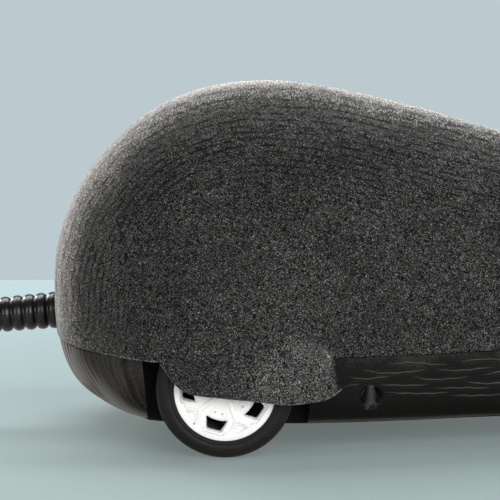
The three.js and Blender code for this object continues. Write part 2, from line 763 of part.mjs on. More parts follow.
function chassisTub() {
  const outer = bodyForm({ bulged: false, inset: chassisInset, bellyInset: 0 }).intersect(belowParting);
  const innerInset = { inset: chassisInset + chassisWall, bellyInset: chassisWall };
  const inner = bodyForm({ bulged: false, ...innerInset, grain: coarseGrain }).intersect(aboveFloor);
  const tub = outer.subtract(inner);
  const wellBlocks = Object.values(sides).map((side) => {
    const outline = wellOutline(wellWall, bellyHeight - overrun, partingHeight - seatGap / 2);
    const wallFace = wellInnerFace - wellWall;
    const walls = side < 0 ? slab(outline, -widest, -wallFace) : slab(outline, wallFace, widest);
    return walls.intersect(outer);
  });
  const bosses = screwPlaces.map(({ x, y }) => (
    rod(bossRadius, midFloor, partingHeight - seatGap / 2, x, y, boreSideCount)
  ));
  const doorBoss = rod(bossRadius, floorTop + seatGap, floorTop + doorScrewLength, doorScrewX, 0);
  const doorBossWeb = block(
    [bayFront, -chassisWall / 2, floorTop + seatGap],
    [doorScrewX - bossRadius / 2, chassisWall / 2, floorTop + doorScrewLength],
  );
  const boardPosts = boardPostPlaces.map(([x, y]) => (
    rod(boardPostRadius, midFloor, boardHeight - seatGap, x, y, boreSideCount)
  ));
  const cradles = [-1, 1].flatMap((side) => cradleShares.map((share) => {
    const y = side * (motorBackY + motorLength * share);
    return block(
      [motorX - motorRadius, y - chassisWall / 2, midFloor],
      [motorX + motorRadius, y + chassisWall / 2, motorZ - motorFlat - seatGap],
    );
  }));
  const housingRadius = casterWellRadius + chassisWall;
  const housingTop = casterWellTop + chassisWall;
  const casterHousing = rod(housingRadius, midFloor, housingTop, casterX, 0, casterSideCount);
  const casterBoss = rod(casterBossRadius, casterWellTop, casterBossTop, casterX, 0);
  const reliefRibs = Object.values(sides).map((side) => reliefRib(side));
  const inside = [...bosses, ...cradles, ...boardPosts, casterHousing, casterBoss, doorBoss, doorBossWeb];
  const solid = joined([tub, ...wellBlocks, batteryBay(), ...inside]);
  const screwCuts = screwPlaces.flatMap(({ x, y }) => [
    rod(screwRadius + seatGap, bellyHeight - overrun, partingHeight + overrun, x, y, boreSideCount),
    rod(screwHeadRadius + seatGap, bellyHeight - overrun, bellyHeight + screwHeadHeight + 2 * seatGap, x, y),
  ]);
  const wheelCuts = Object.values(sides).flatMap((side) => {
    const near = side < 0 ? -wellInnerFace - overrun : wellInnerFace - wellWall - overrun;
    const far = near + wellWall + 2 * overrun;
    return [wellCut(side), rodAcross(bushRadius + fitGap, near, far, 0, axleHeight, pawSideCount)];
  });
  const reliefs = Object.values(sides).map((side) => {
    const face = sideY(reliefX, side);
    const ends = [face - side * reliefDepth, face + side * overrun];
    const [near, far] = [Math.min(...ends), Math.max(...ends)];
    return rodAcross(reliefRadius, near, far, reliefX, reliefHeight, pawSideCount);
  });
  const sliderSlot = block(
    [switchX - sliderRoom, -sliderHalfWidth - seatGap, bellyHeight - overrun],
    [switchX + sliderRoom, sliderHalfWidth + seatGap, floorTop + seatGap],
  );
  const casterCuts = [
    rod(casterWellRadius, bellyHeight - overrun, casterWellTop, casterX, 0, casterSideCount),
    rod(casterStemRadius + runGap, casterWellTop - overrun, casterBossTop + overrun, casterX, 0),
  ];
  const doorScrewTop = floorTop + 2 * doorScrewLength;
  const doorBossCut = rod(screwRadius + 1.5 * seatGap, bellyHeight, doorScrewTop, doorScrewX, 0);
  const bracketSeats = [
    [-bracketOuterFace - seatGap, -bracketInnerFace + seatGap],
    [bracketInnerFace - seatGap, bracketOuterFace + seatGap],
  ].map(([near, far]) => (
    block([bracketRear - seatGap, near, floorTop], [bracketFront + seatGap, far, partingHeight])
  ));
  const floorCuts = [...bracketSeats, bayCut(), sliderSlot, doorBossCut];
  const cuts = [...screwCuts, ...wheelCuts, ...reliefs, ...casterCuts, ...floorCuts];
  return solid.subtract(joined(cuts)).add(joined(reliefRibs));
}

function reliefRib(side) {
  const low = reliefHeight - reliefRadius;
  const cone = rodGeometry(reliefRibFootRadius, 2 * reliefRadius, roundSideCount, reliefRibTopRadius);
  return toSolid(cone.translate(reliefX, sideY(reliefX, side) - side * reliefRibFootRadius, low));
}

const sliderRoom = (sliderLength + sliderTravel) / 2 + seatGap;
const boardPostPlaces = [boardRear + boardPostInset, boardFront - boardPostInset].flatMap((x) => (
  [-1, 1].map((side) => [x, side * (boardHalfWidth - boardPostInset)])
));

// Gear places: the compound gear is carried off the axle, and the motor off the compound gear
const compoundDistance = (gearModule * (finalToothCount + smallToothCount)) / 2;
const motorDistance = (gearModule * (bigToothCount + pinionToothCount)) / 2;
const compoundX = compoundDistance * Math.cos(compoundBearing);
const compoundZ = axleHeight + compoundDistance * Math.sin(compoundBearing);
const motorX = compoundX + motorDistance * Math.cos(motorBearing);
const motorZ = compoundZ + motorDistance * Math.sin(motorBearing);
const motorFrontY = bracketInnerFace - seatGap;
const motorBackY = motorFrontY - motorLength;

// Involute teeth, each drawn by the four corners of its flanks
function gearOutline(teeth, phase) {
  const pitchRadius = (gearModule * teeth) / 2;
  const baseRadius = pitchRadius * Math.cos(pressureAngle);
  const involute = (angle) => Math.tan(angle) - angle;
  const halfTooth = Math.PI / (2 * teeth) - toothBacklash / (2 * pitchRadius);
  const halfAngleAt = (radius) => {
    const angle = Math.acos(Math.min(1, baseRadius / Math.max(radius, baseRadius)));
    return halfTooth + involute(pressureAngle) - involute(angle);
  };
  const tip = pitchRadius + addendumShare * gearModule;
  const root = pitchRadius - dedendumShare * gearModule;
  const outline = [];
  for (let tooth = 0; tooth < teeth; tooth += 1) {
    const centre = phase + (tooth * 2 * Math.PI) / teeth;
    const [rootTurn, tipTurn] = [halfAngleAt(root), halfAngleAt(tip)];
    const flank = [[root, -rootTurn], [tip, -tipTurn], [tip, tipTurn], [root, rootTurn]];
    for (const [radius, turn] of flank) {
      outline.push([radius * Math.cos(centre + turn), radius * Math.sin(centre + turn)]);
    }
  }
  return outline;
}

// The phase that puts a gap of one gear over a tooth of its mate
function meshedPhase(matePhase, mateTeeth, teeth, bearing) {
  return bearing + Math.PI + (Math.PI - (matePhase - bearing) * mateTeeth) / teeth;
}

function gear(teeth, width, boreRadius, phase) {
  return plate(gearOutline(teeth, phase), width, [circle(boreRadius, boreSideCount)]);
}

const smallPhase = meshedPhase(0, finalToothCount, smallToothCount, compoundBearing);
const pinionPhase = meshedPhase(0, bigToothCount, pinionToothCount, motorBearing);

function compoundGear(side) {
  const bore = compoundPinRadius + runGap;
  const width = outerGearFace - innerGearFace + innerGearWidth;
  const big = toSolid(gear(bigToothCount, innerGearWidth, bore, 0));
  return big.add(toSolid(gear(smallToothCount, width, bore, -side * smallPhase)));
}

// Rim: a band, a face plate with five windows, Y-shaped ridges on the spokes, lugs, cap and hub
function rimFace() {
  const windows = [];
  for (let k = 0; k < windowCount; k += 1) {
    const centre = windowPhase + (k * 2 * Math.PI) / windowCount;
    const hole = [];
    for (let step = 0; step <= windowStepCount; step += 1) {
      const turn = THREE.MathUtils.lerp(-windowInnerHalfAngle, windowInnerHalfAngle, step / windowStepCount);
      hole.push([windowInner * Math.cos(centre + turn), windowInner * Math.sin(centre + turn)]);
    }
    for (const turn of [windowOuterHalfAngle, -windowOuterHalfAngle]) {
      hole.push([windowOuter * Math.cos(centre + turn), windowOuter * Math.sin(centre + turn)]);
    }
    windows.push(hole);
  }
  return toSolid(plate(circle(rimRadius - rimBand / 2, wheelSideCount), rimPlate, windows));
}

function spokeRidge(k) {
  const angle = windowPhase + ((k + 0.5) * 2 * Math.PI) / windowCount;
  const half = spokeRidgeWidth / 2;
  const outline = [[-half, 0], [half, 0], [half / 4, spokeRidgeRise], [-half / 4, spokeRidgeRise]];
  const start = rimCapRadius;
  const bar = plate(outline, spokeRidgeReach - start).rotateX(Math.PI / 2).rotateZ(Math.PI / 2);
  return toSolid(bar.translate(start, 0, 0).rotateZ(angle));
}

function rim() {
  const faceTop = tyreWidth - rimFaceSet;
  const plateLow = faceTop - spokeRidgeRise - rimPlate;
  const band = turned([
    [rimRadius - rimBand, 0],
    [rimRadius, 0],
    [rimRadius, faceTop],
    [rimRadius - rimBand, faceTop],
    [rimRadius - rimBand, 0],
  ], wheelSideCount);
  const plateTop = plateLow + rimPlate;
  const face = rimFace().translate([0, 0, plateLow]);
  const hub = rod(rimHubRadius, 0, plateLow + rimPlate / 2);
  const cap = rod(rimCapRadius, plateTop - rimPlate / 2, plateTop + rimCapRise);
  const ridges = Array.from({ length: windowCount }, (_, k) => (
    spokeRidge(k).translate([0, 0, plateTop - fitGap])
  ));
  const bore = rod(axleRadius + fitGap, -overrun, plateLow);
  return joined([toSolid(band), face, hub, cap, ...ridges]).subtract(bore);
}

function tyre() {
  const inner = rimRadius + fitGap;
  const shoulder = [];
  for (let k = 0; k <= shoulderStepCount; k += 1) {
    const angle = (k / shoulderStepCount) * (Math.PI / 2);
    shoulder.push([
      wheelRadius - tyreShoulder * (1 - Math.sin(angle)),
      tyreShoulder * (1 - Math.cos(angle)),
    ]);
  }
  const far = [...shoulder].reverse().map(([radius, height]) => [radius, tyreWidth - height]);
  return turned([[inner, 0], ...shoulder, ...far, [inner, tyreWidth], [inner, 0]], wheelSideCount);
}

// Each driven side: wheel, axle, gears, motor and bracket, with local Z pointing outboard
function driveSide(name, side) {
  const group = new THREE.Group();
  const outboard = new THREE.Group();
  outboard.rotation.x = -side * Math.PI / 2;
  group.add(outboard);
  const up = (z) => -side * z;
  const wheel = new THREE.Group();
  wheel.position.set(0, up(axleHeight), wheelInnerFace);
  wheel.rotation.z = side < 0 ? 0 : Math.PI;
  wheel.add(piece(`rim_${name}`, rim(), materials.whiteAbs));
  wheel.add(piece(`tyre_${name}`, tyre(), materials.tyreRubber));
  outboard.add(wheel);
  const axleEnd = wheelOuterFace - rimFaceSet - spokeRidgeRise - rimPlate - fitGap;
  const axleStart = bracketInnerFace + fitGap;
  const axle = rodGeometry(axleRadius, axleEnd - axleStart);
  outboard.add(piece(`axle_${name}`, axle, materials.steel, [0, up(axleHeight), axleStart]));
  const finalGear = gear(finalToothCount, outerGearWidth, axleRadius + fitGap, 0);
  const gearLow = outerGearFace - outerGearWidth;
  outboard.add(piece(`final_gear_${name}`, finalGear, materials.acetal, [0, up(axleHeight), gearLow]));
  const compoundPlace = [compoundX, up(compoundZ), innerGearFace - innerGearWidth];
  outboard.add(piece(`compound_gear_${name}`, compoundGear(side), materials.acetal, compoundPlace));
  const pin = rodGeometry(compoundPinRadius, bracketOuterFace - bracketInnerFace - 2 * fitGap);
  const pinPlace = [compoundX, up(compoundZ), bracketInnerFace + fitGap];
  outboard.add(piece(`gear_pin_${name}`, pin, materials.steel, pinPlace));
  const pinion = gear(pinionToothCount, innerGearWidth, motorShaftRadius + fitGap, -side * pinionPhase);
  const pinionPlace = [motorX, up(motorZ), innerGearFace - innerGearWidth];
  outboard.add(piece(`motor_pinion_${name}`, pinion, materials.brass, pinionPlace));
  const shaftStart = motorFrontY - motorShaftSeat + fitGap;
  const shaft = rodGeometry(motorShaftRadius, motorShaftEnd - shaftStart);
  outboard.add(piece(`motor_shaft_${name}`, shaft, materials.steel, [motorX, up(motorZ), shaftStart]));
  outboard.add(piece(`motor_${name}`, motor(), materials.steel, [motorX, up(motorZ), motorBackY]));
  const bushPlace = [0, up(axleHeight), wellInnerFace - wellWall];
  outboard.add(piece(`axle_bush_${name}`, bush(), materials.acetal, bushPlace));
  group.add(piece(`gearbox_bracket_${name}`, bracket(side), materials.innerAbs));
  return group;
}

function motor() {
  const half = Math.asin(motorFlat / motorRadius);
  const outline = [];
  for (const start of [-half, Math.PI - half]) {
    for (let k = 0; k <= motorStepCount; k += 1) {
      const angle = start + (2 * half * k) / motorStepCount;
      outline.push([motorRadius * Math.cos(angle), motorRadius * Math.sin(angle)]);
    }
  }
  const can = toSolid(plate(outline, motorLength));
  const boss = rod(motorBossRadius, motorLength / 2, motorLength + motorBossLength);
  const bore = rod(motorShaftRadius + runGap, motorLength - motorShaftSeat, motorLength + overrun);
  return can.add(boss).subtract(bore);
}

function bush() {
  const flange = seatGap;
  return turned([
    [axleRadius + fitGap, 0],
    [bushRadius, 0],
    [bushRadius, wellWall + flange],
    [axleRadius + fitGap, wellWall + flange],
    [axleRadius + fitGap, 0],
  ], pawSideCount);
}

function bracket(side) {
  const low = side < 0 ? -bracketOuterFace : bracketInnerFace;
  const high = side < 0 ? -bracketInnerFace : bracketOuterFace;
  const outline = [
    [bracketRear, bracketFloor],
    [bracketFront, bracketFloor],
    [bracketFront, bracketTop],
    [bracketRear + bracketCorner, bracketTop],
    [bracketRear, bracketTop - bracketCorner],
  ];
  const whole = slab(outline, low, high);
  const room = block(
    [bracketRear - overrun, low + bracketPlate, bracketFloor - overrun],
    [bracketFront + overrun, high - bracketPlate, bracketTop - bracketPlate],
  );
  const holes = [
    rodAcross(axleRadius + runGap, low - overrun, high + overrun, 0, axleHeight),
    rodAcross(compoundPinRadius + fitGap, low - overrun, high + overrun, compoundX, compoundZ),
    rodAcross(motorBossRadius + seatGap, low - overrun, high + overrun, motorX, motorZ, pawSideCount),
  ];
  return whole.subtract(joined([room, ...holes]));
}

// Batteries lie side by side, every other one turned round
function cell() {
  return turned([
    [0, 0],
    [cellRadius, 0],
    [cellRadius, cellLength],
    [cellTipRadius, cellLength],
    [cellTipRadius, cellLength + cellTip],
    [0, cellLength + cellTip],
  ], pawSideCount);
}

// A sheet contact: a strip against the bay wall with a sprung bulge towards each cell end that it serves
function contact(bulgePlaces) {
  const back = [];
  const front = [];
  for (const y of bulgePlaces) {
    const bends = [
      [-contactHalfWidth, 0],
      [-contactHalfWidth / 2, 0],
      [0, contactBulge],
      [contactHalfWidth / 2, 0],
      [contactHalfWidth, 0],
    ];
    for (const [offset, rise] of bends) {
      back.push([rise, y + offset]);
      front.unshift([rise + contactSheet, y + offset]);
    }
  }
  return plate([...back, ...front], contactHeight);
}

function batteryPack() {
  const group = new THREE.Group();
  const start = bayRear + contactBulge + contactSheet + 2 * seatGap;
  [-1, 0, 1].forEach((lane, index) => {
    const mesh = piece(`battery_${index + 1}`, cell(), materials.cellSleeve);
    const isTurned = lane === 0;
    mesh.rotation.y = isTurned ? -Math.PI / 2 : Math.PI / 2;
    mesh.position.set(isTurned ? start + cellLength + cellTip : start, lane * cellPitch, cellCentre);
    group.add(mesh);
  });
  const low = cellCentre - contactHeight / 2;
  const contacts = [
    ["contact_rear_link", [0, cellPitch], false],
    ["contact_rear_end", [-cellPitch], false],
    ["contact_front_link", [-cellPitch, 0], true],
    ["contact_front_end", [cellPitch], true],
  ];
  for (const [name, lanes, isFront] of contacts) {
    const shape = isFront ? contact(lanes.map((lane) => -lane).reverse()) : contact(lanes);
    const x = isFront ? bayFront - seatGap : bayRear + seatGap;
    const mesh = piece(name, shape, materials.steel, [x, 0, low]);
    mesh.rotation.z = isFront ? Math.PI : 0;
    group.add(mesh);
  }
  return group;
}

// Battery door: two tabs at the rear, an ear for the screw at the front, grip ribs underneath kept flush
function batteryDoor() {
  const panel = block(
    [bayRear + seatGap, -bayHalfWidth + seatGap, bellyHeight],
    [bayFront - seatGap, bayHalfWidth - seatGap, floorTop],
  );
  const tabs = [-doorTabOffset, doorTabOffset].flatMap((y) => [
    block(
      [bayRear - doorTabLength, y - doorTabWidth / 2, floorTop + seatGap],
      [bayRear + doorTabLength / 2, y + doorTabWidth / 2, floorTop + seatGap + doorTabThickness],
    ),
    block(
      [bayRear + seatGap, y - doorTabWidth / 2, bellyHeight + chassisWall / 2],
      [bayRear + doorTabLength / 2, y + doorTabWidth / 2, floorTop + doorTabThickness],
    ),
  ]);
  const ear = block(
    [bayFront - overrun, -doorEarHalfWidth, bellyHeight],
    [bayFront + doorEarLength, doorEarHalfWidth, floorTop],
  );
  const headSeat = bellyHeight + screwHeadHeight + fitGap;
  const cuts = [
    rod(screwRadius + fitGap, bellyHeight - overrun, floorTop + overrun, doorScrewX, 0),
    rod(screwHeadRadius + fitGap, bellyHeight - overrun, headSeat, doorScrewX, 0),
  ];
  const grooves = [-1, 0, 1].map((k) => {
    const x = bayRear + (bayFront - bayRear) / 8 + 2 * k * chassisWall;
    return block(
      [x - doorRib / 2, -cellPitch / 2, bellyHeight - overrun],
      [x + doorRib / 2, cellPitch / 2, bellyHeight + doorRib],
    );
  });
  return joined([panel, ...tabs, ear]).subtract(joined([...cuts, ...grooves]));
}

function screw(length) {
  return turned([
    [0, 0],
    [screwHeadRadius, 0],
    [screwHeadRadius, screwHeadHeight],
    [screwRadius, screwHeadHeight],
    [screwRadius, length - screwRadius],
    [0, length],
  ], screwSideCount);
}

// Power switch: a body on the floor of the chassis and a slider in its slot
function switchBody() {
  const low = floorTop + seatGap;
  const body = block(
    [switchX - switchLength / 2, -switchHalfWidth, low],
    [switchX + switchLength / 2, switchHalfWidth, low + switchHeight],
  );
  const room = block(
    [switchX - sliderRoom, -sliderHalfWidth - runGap, low - overrun],
    [switchX + sliderRoom, sliderHalfWidth + runGap, bellyHeight + seatGap + sliderHeight + runGap],
  );
  return body.subtract(room);
}

function switchSlider() {
  const start = switchX - sliderRoom + seatGap;
  return block(
    [start, -sliderHalfWidth, bellyHeight + seatGap],
    [start + sliderLength, sliderHalfWidth, bellyHeight + seatGap + sliderHeight],
  );
}

// Caster: the fork swivels in the chassis boss, and its wheel trails behind the stem
function casterFork() {
  const plateTop = casterWellTop - seatGap;
  const plateLow = plateTop - casterPlate;
  const gap = casterHalfWidth + seatGap;
  const disc = rod(casterPlateRadius, plateLow, plateTop, 0, 0, pawSideCount);
  const snapLow = casterBossTop + seatGap;
  const stem = rod(casterStemRadius, plateTop - casterPlate / 2, snapLow + casterSnapHeight / 2);
  const snap = rod(casterSnapRadius, snapLow, snapLow + casterSnapHeight);
  const foot = casterRadius - casterCheekHalfLength + seatGap;
  const cheekOutline = [
    [-casterTrail - casterCheekHalfLength, foot + casterCheekHalfLength / 2],
    [-casterTrail - casterCheekHalfLength / 2, foot],
    [-casterTrail + casterCheekHalfLength / 2, foot],
    [-casterTrail + casterCheekHalfLength, foot + casterCheekHalfLength / 2],
    [casterTrail, plateLow + casterPlate / 2],
    [-casterTrail - casterCheekHalfLength, plateLow + casterPlate / 2],
  ];
  const cheeks = [
    slab(cheekOutline, -gap - casterCheek, -gap),
    slab(cheekOutline, gap, gap + casterCheek),
  ];
  const reach = gap + casterCheek + overrun;
  const bore = rodAcross(casterPinRadius + fitGap, -reach, reach, -casterTrail, casterRadius);
  return joined([disc, stem, snap, ...cheeks]).subtract(bore);
}

function casterWheel() {
  const bore = casterPinRadius + runGap;
  return turned([
    [bore, -casterHalfWidth],
    [casterRadius - casterCrown, -casterHalfWidth],
    [casterRadius, -casterHalfWidth / 2],
    [casterRadius, casterHalfWidth / 2],
    [casterRadius - casterCrown, casterHalfWidth],
    [bore, casterHalfWidth],
    [bore, -casterHalfWidth],
  ], pawSideCount);
}

function casterPin() {
  const reach = casterHalfWidth + seatGap + casterCheek;
  return rodGeometry(casterPinRadius, 2 * reach).translate(0, 0, -reach);
}

function caster() {
  const group = new THREE.Group();
  group.position.x = casterX;
  group.add(piece("caster_fork", casterFork(), materials.innerAbs));
  const wheel = piece("caster_wheel", casterWheel(), materials.acetal, [-casterTrail, 0, casterRadius]);
  const pin = piece("caster_pin", casterPin(), materials.steel, [-casterTrail, 0, casterRadius]);
  wheel.rotation.x = Math.PI / 2;
  pin.rotation.x = Math.PI / 2;
  group.add(wheel, pin);
  return group;
}

// Ears: shallow soft dishes on a peg, cut to the head's skin with a small gap
const headClearance = bodyForm({ bulged: false, inset: -seatGap });
function ear(side) {
  const { at, normal } = skinFrame(earAlongShare, earAngleShare, side);
  const dish = [];
  const dishBack = [];
  for (let k = 0; k <= earStepCount; k += 1) {
    const radius = (earRadius * k) / earStepCount;
    const depth = earDepth * (k / earStepCount) ** 2;
    dish.push([radius, depth]);
    dishBack.unshift([radius, depth - earSheet]);
  }
  const bowl = turned([...dish, ...dishBack], pawSideCount);
  const facing = new THREE.Vector3(1, side * earFacingShare, earLiftShare).normalize();
  const centre = at.clone().addScaledVector(normal, earStand);
  const cup = toSolid(alongNormal(bowl, centre, facing));
  const stalk = rodGeometry(earPegRadius, earPegLength + earStand / 2);
  const peg = toSolid(alongNormal(stalk, at, normal, -earPegLength / 2));
  return cup.subtract(headClearance).add(peg);
}

function eye(side) {
  return ball(eyeRadius, eyeCentre(side));
}

function whiskers(side) {
  const { at, normal } = skinFrame(padAlongShare, padAngleShare, side);
  const disc = rodGeometry(whiskerPadRadius, whiskerPadThickness);
  const pad = toSolid(alongNormal(disc, at, normal, -whiskerPadThickness));
  const strands = whiskerLeanShares.map(([back, rise], k) => {
    const direction = new THREE.Vector3(back, side, rise).normalize();
    const angle = (k * 2 * Math.PI) / whiskerLeanShares.length;
    const root = at.clone();
    root.x += (whiskerPadRadius / 2) * Math.cos(angle);
    root.z += (whiskerPadRadius / 2) * Math.sin(angle);
    const strand = rodGeometry(whiskerRadius, whiskerLength, whiskerSideCount, whiskerRadius / 3);
    return toSolid(alongNormal(strand, root, direction, -whiskerPadThickness / 2));
  });
  return joined([pad, ...strands]);
}

// The assembly
const toy = new THREE.Group();
toy.add(piece("upper_shell", upperShell(), materials.flock));
toy.add(piece("chassis_tub", chassisTub(), materials.blackAbs));
toy.add(piece("tail", tail(), materials.tailRubber));
toy.add(piece("nose", ball(noseRadius, noseCentre), materials.beadBlack));
for (const [name, side] of Object.entries(sides)) {
  toy.add(driveSide(name, side));
  toy.add(piece(`ear_${name}`, ear(side), materials.softPvc));
  toy.add(piece(`eye_${name}`, eye(side), materials.beadBlack));
  toy.add(piece(`whiskers_${name}`, whiskers(side), materials.whiskerNylon));
}
for (const { name, x, y } of screwPlaces) {
  const place = [x, y, bellyHeight + seatGap];
  toy.add(piece(`shell_screw_${name}`, screw(shellScrewLength), materials.steel, place));
}
toy.add(batteryPack());
toy.add(piece("battery_door", batteryDoor(), materials.blackAbs));
toy.add(piece("battery_door_screw", screw(doorScrewLength), materials.steel, [doorScrewX, 0, bellyHeight]));
toy.add(piece("switch_body", switchBody(), materials.innerAbs));
toy.add(piece("switch_slider", switchSlider(), materials.acetal));
const boardTop = boardHeight + boardThickness;
const boardShape = block([boardRear, -boardHalfWidth, boardHeight], [boardFront, boardHalfWidth, boardTop]);
toy.add(piece("circuit_board", boardShape, materials.boardLaminate));
const chipLow = [(boardRear + boardFront - chipLength) / 2, -chipWidth / 2, boardTop + fitGap];
const chipHigh = [chipLow[0] + chipLength, chipWidth / 2, chipLow[2] + chipHeight];
toy.add(piece("control_chip", block(chipLow, chipHigh), materials.chipEpoxy));
toy.add(caster());

// The origin lies on the floor, under the middle of the whole toy
const reach = new THREE.Box3().setFromObject(toy, true);
toy.position.x = -(reach.min.x + reach.max.x) / 2;
const group = new THREE.Group();
group.add(toy);

export default group;
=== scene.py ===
# Robotic mouse cat toy: a flocked shell on a black ABS chassis, white rear wheels and a ribbed rubber tail.
import math

import bmesh
import bpy
import numpy as np
from mathutils import Matrix, Vector


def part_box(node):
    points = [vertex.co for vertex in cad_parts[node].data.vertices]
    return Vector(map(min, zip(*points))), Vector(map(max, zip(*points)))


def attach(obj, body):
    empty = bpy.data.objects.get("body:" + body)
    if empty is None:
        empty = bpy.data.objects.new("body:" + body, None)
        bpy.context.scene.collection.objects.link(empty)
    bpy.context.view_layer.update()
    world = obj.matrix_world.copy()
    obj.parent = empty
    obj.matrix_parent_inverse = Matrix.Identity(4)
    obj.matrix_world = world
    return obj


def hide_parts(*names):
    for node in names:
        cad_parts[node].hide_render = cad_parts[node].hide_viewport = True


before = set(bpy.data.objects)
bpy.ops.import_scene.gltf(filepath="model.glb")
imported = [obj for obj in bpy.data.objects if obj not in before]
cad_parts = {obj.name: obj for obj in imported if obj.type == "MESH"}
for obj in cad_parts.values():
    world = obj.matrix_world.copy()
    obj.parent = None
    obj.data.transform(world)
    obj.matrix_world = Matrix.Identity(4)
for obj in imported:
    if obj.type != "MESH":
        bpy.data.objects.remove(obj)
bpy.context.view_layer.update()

mm = 0.001
tiny = 1e-9  # keeps edges in and divisions from zero
up = Vector((0, 0, 1))


def middleOf(node):
    low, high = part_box(node)
    return (low + high) / 2


axleX = middleOf("rim_right").x / mm  # sizes below are in mm, with the rear axle at x = 0
sides = {"right": -1, "left": 1}


def toFrame(points):
    # mm from the rear axle to metres in the frame
    return (np.asarray(points, float) + np.array([axleX, 0, 0])) * mm


# Meshes: small helpers round bmesh

def newPiece(name, bm, slot, body="chassis", nodes=()):
    # A piece has the finish that its slot is named for, and stands for the nodes given
    mesh = bpy.data.meshes.new(name)
    for face in bm.faces:
        face.smooth = True
    bm.to_mesh(mesh)
    bm.free()
    piece = bpy.data.objects.new(name, mesh)
    bpy.context.scene.collection.objects.link(piece)
    mesh.materials.append(finishes[slot])
    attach(piece, body)
    if nodes:
        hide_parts(*nodes)
    return piece


def gridOf(bm, places, **marks):
    # A grid with one vertex for each place; rows run along the first axis. The marks go on as attributes.
    rows, columns = places.shape[:2]
    layers = bm.verts.layers.float
    layerOf = {name: layers.get(name) or layers.new(name) for name in marks}
    made = bmesh.ops.create_grid(bm, x_segments=columns - 1, y_segments=rows - 1, size=1)
    for vert in made["verts"]:
        row = round((vert.co.y + 1) / 2 * (rows - 1))
        column = round((vert.co.x + 1) / 2 * (columns - 1))
        vert.co = places[row, column]
        for name, layer in layerOf.items():
            vert[layer] = marks[name][row, column]
    return made["verts"]


def mergeDoubles(bm, distance=0.0005):
    bmesh.ops.remove_doubles(bm, verts=bm.verts, dist=distance * mm)


def faceOut(bm):
    bmesh.ops.recalc_face_normals(bm, faces=bm.faces)


def spunShape(profile, steps=96):
    # A closed outline of radius and height, turned about Z
    bm = bmesh.new()
    ring = [bm.verts.new((radius * mm, 0, height * mm)) for radius, height in profile]
    edges = [bm.edges.new((ring[k - 1], ring[k])) for k in range(len(ring))
             if profile[k - 1][0] or profile[k][0]]
    bmesh.ops.spin(bm, geom=ring + edges, cent=(0, 0, 0), axis=up, angle=2 * math.pi, steps=steps,
                   use_merge=True)
    mergeDoubles(bm)
    faceOut(bm)
    return bm


def arcPoints(centre, radius, start, end, steps):
    turns = np.linspace(math.radians(start), math.radians(end), steps + 1)
    return [(centre[0] + radius * math.cos(turn), centre[1] + radius * math.sin(turn)) for turn in turns]


def addPrism(bm, rings):
    # A closed body through rings of one count, pushed out ring by ring from the first
    lastRing = [bm.verts.new([value * mm for value in point]) for point in rings[0]]
    face = bm.faces.new(lastRing)
    for index, ring in enumerate(rings[1:]):
        made = bmesh.ops.extrude_face_region(bm, geom=[face])
        if index:
            bmesh.ops.delete(bm, geom=[face], context="FACES_ONLY")
        face = [item for item in made["geom"] if isinstance(item, bmesh.types.BMFace)][0]
        lastRing = inOrder(lastRing, list(face.verts))
        for vert, point in zip(lastRing, ring):
            vert.co = [value * mm for value in point]
    faceOut(bm)


def inOrder(before, after):
    # The new vertices in the order of the old ones that they were pushed out of
    return [min(after, key=lambda vert: (vert.co - old.co).length_squared) for old in before]


def combine(piece, other, operation):
    modifier = piece.modifiers.new(operation.lower(), "BOOLEAN")
    modifier.operation = operation
    modifier.solver = "EXACT"
    modifier.use_self = True
    modifier.object = other
    bpy.context.view_layer.update()
    graph = bpy.context.evaluated_depsgraph_get()
    mesh = bpy.data.meshes.new_from_object(piece.evaluated_get(graph))
    piece.modifiers.clear()
    piece.data = mesh
    bpy.data.objects.remove(other)


def scratch(name, bm):
    # A shape that only joins or cuts, and is then gone
    mesh = bpy.data.meshes.new(name)
    bm.to_mesh(mesh)
    bm.free()
    shape = bpy.data.objects.new(name, mesh)
    bpy.context.scene.collection.objects.link(shape)
    return shape


def bevelled(piece, width, segments=2, angle=35):
    modifier = piece.modifiers.new("edges", "BEVEL")
    modifier.width = width * mm
    modifier.segments = segments
    modifier.limit_method = "ANGLE"
    modifier.angle_limit = math.radians(angle)
    modifier.harden_normals = False


# Materials: one function for colour, one for nodes

def linear(hexColour):
    channels = [int(hexColour[k:k + 2], 16) / 255 for k in (1, 3, 5)]
    return [c / 12.92 if c <= 0.04045 else ((c + 0.055) / 1.055) ** 2.4 for c in channels] + [1]


def addNode(tree, kind, settings=None, links=None):
    node = tree.nodes.new("ShaderNode" + kind)
    for key, value in (settings or {}).items():
        if isinstance(key, int) or key in node.inputs:
            node.inputs[key].default_value = value
        else:
            setattr(node, key, value)
    for key, source in (links or {}).items():
        tree.links.new(source, node.inputs[key])
    return node


def startMaterial(name, settings):
    material = bpy.data.materials.new(name)
    material.use_nodes = True
    tree = material.node_tree
    shader = tree.nodes["Principled BSDF"]
    for key, value in settings.items():
        shader.inputs[key].default_value = value
    place = addNode(tree, "TexCoord")
    return material, tree, shader, place.outputs["Object"]


def rampOf(tree, source, stops):
    ramp = addNode(tree, "ValToRGB", links={"Fac": source})
    elements = ramp.color_ramp.elements
    while len(elements) < len(stops):
        elements.new(0.5)
    for element, (position, colour) in zip(elements, stops):
        element.position = position
        element.color = linear(colour)
    return ramp.outputs["Color"]


def bumpOf(tree, shader, height, distance):
    bump = addNode(tree, "Bump", {"Strength": 1.0, "Distance": distance * mm}, {"Height": height})
    tree.links.new(bump.outputs["Normal"], shader.inputs["Normal"])


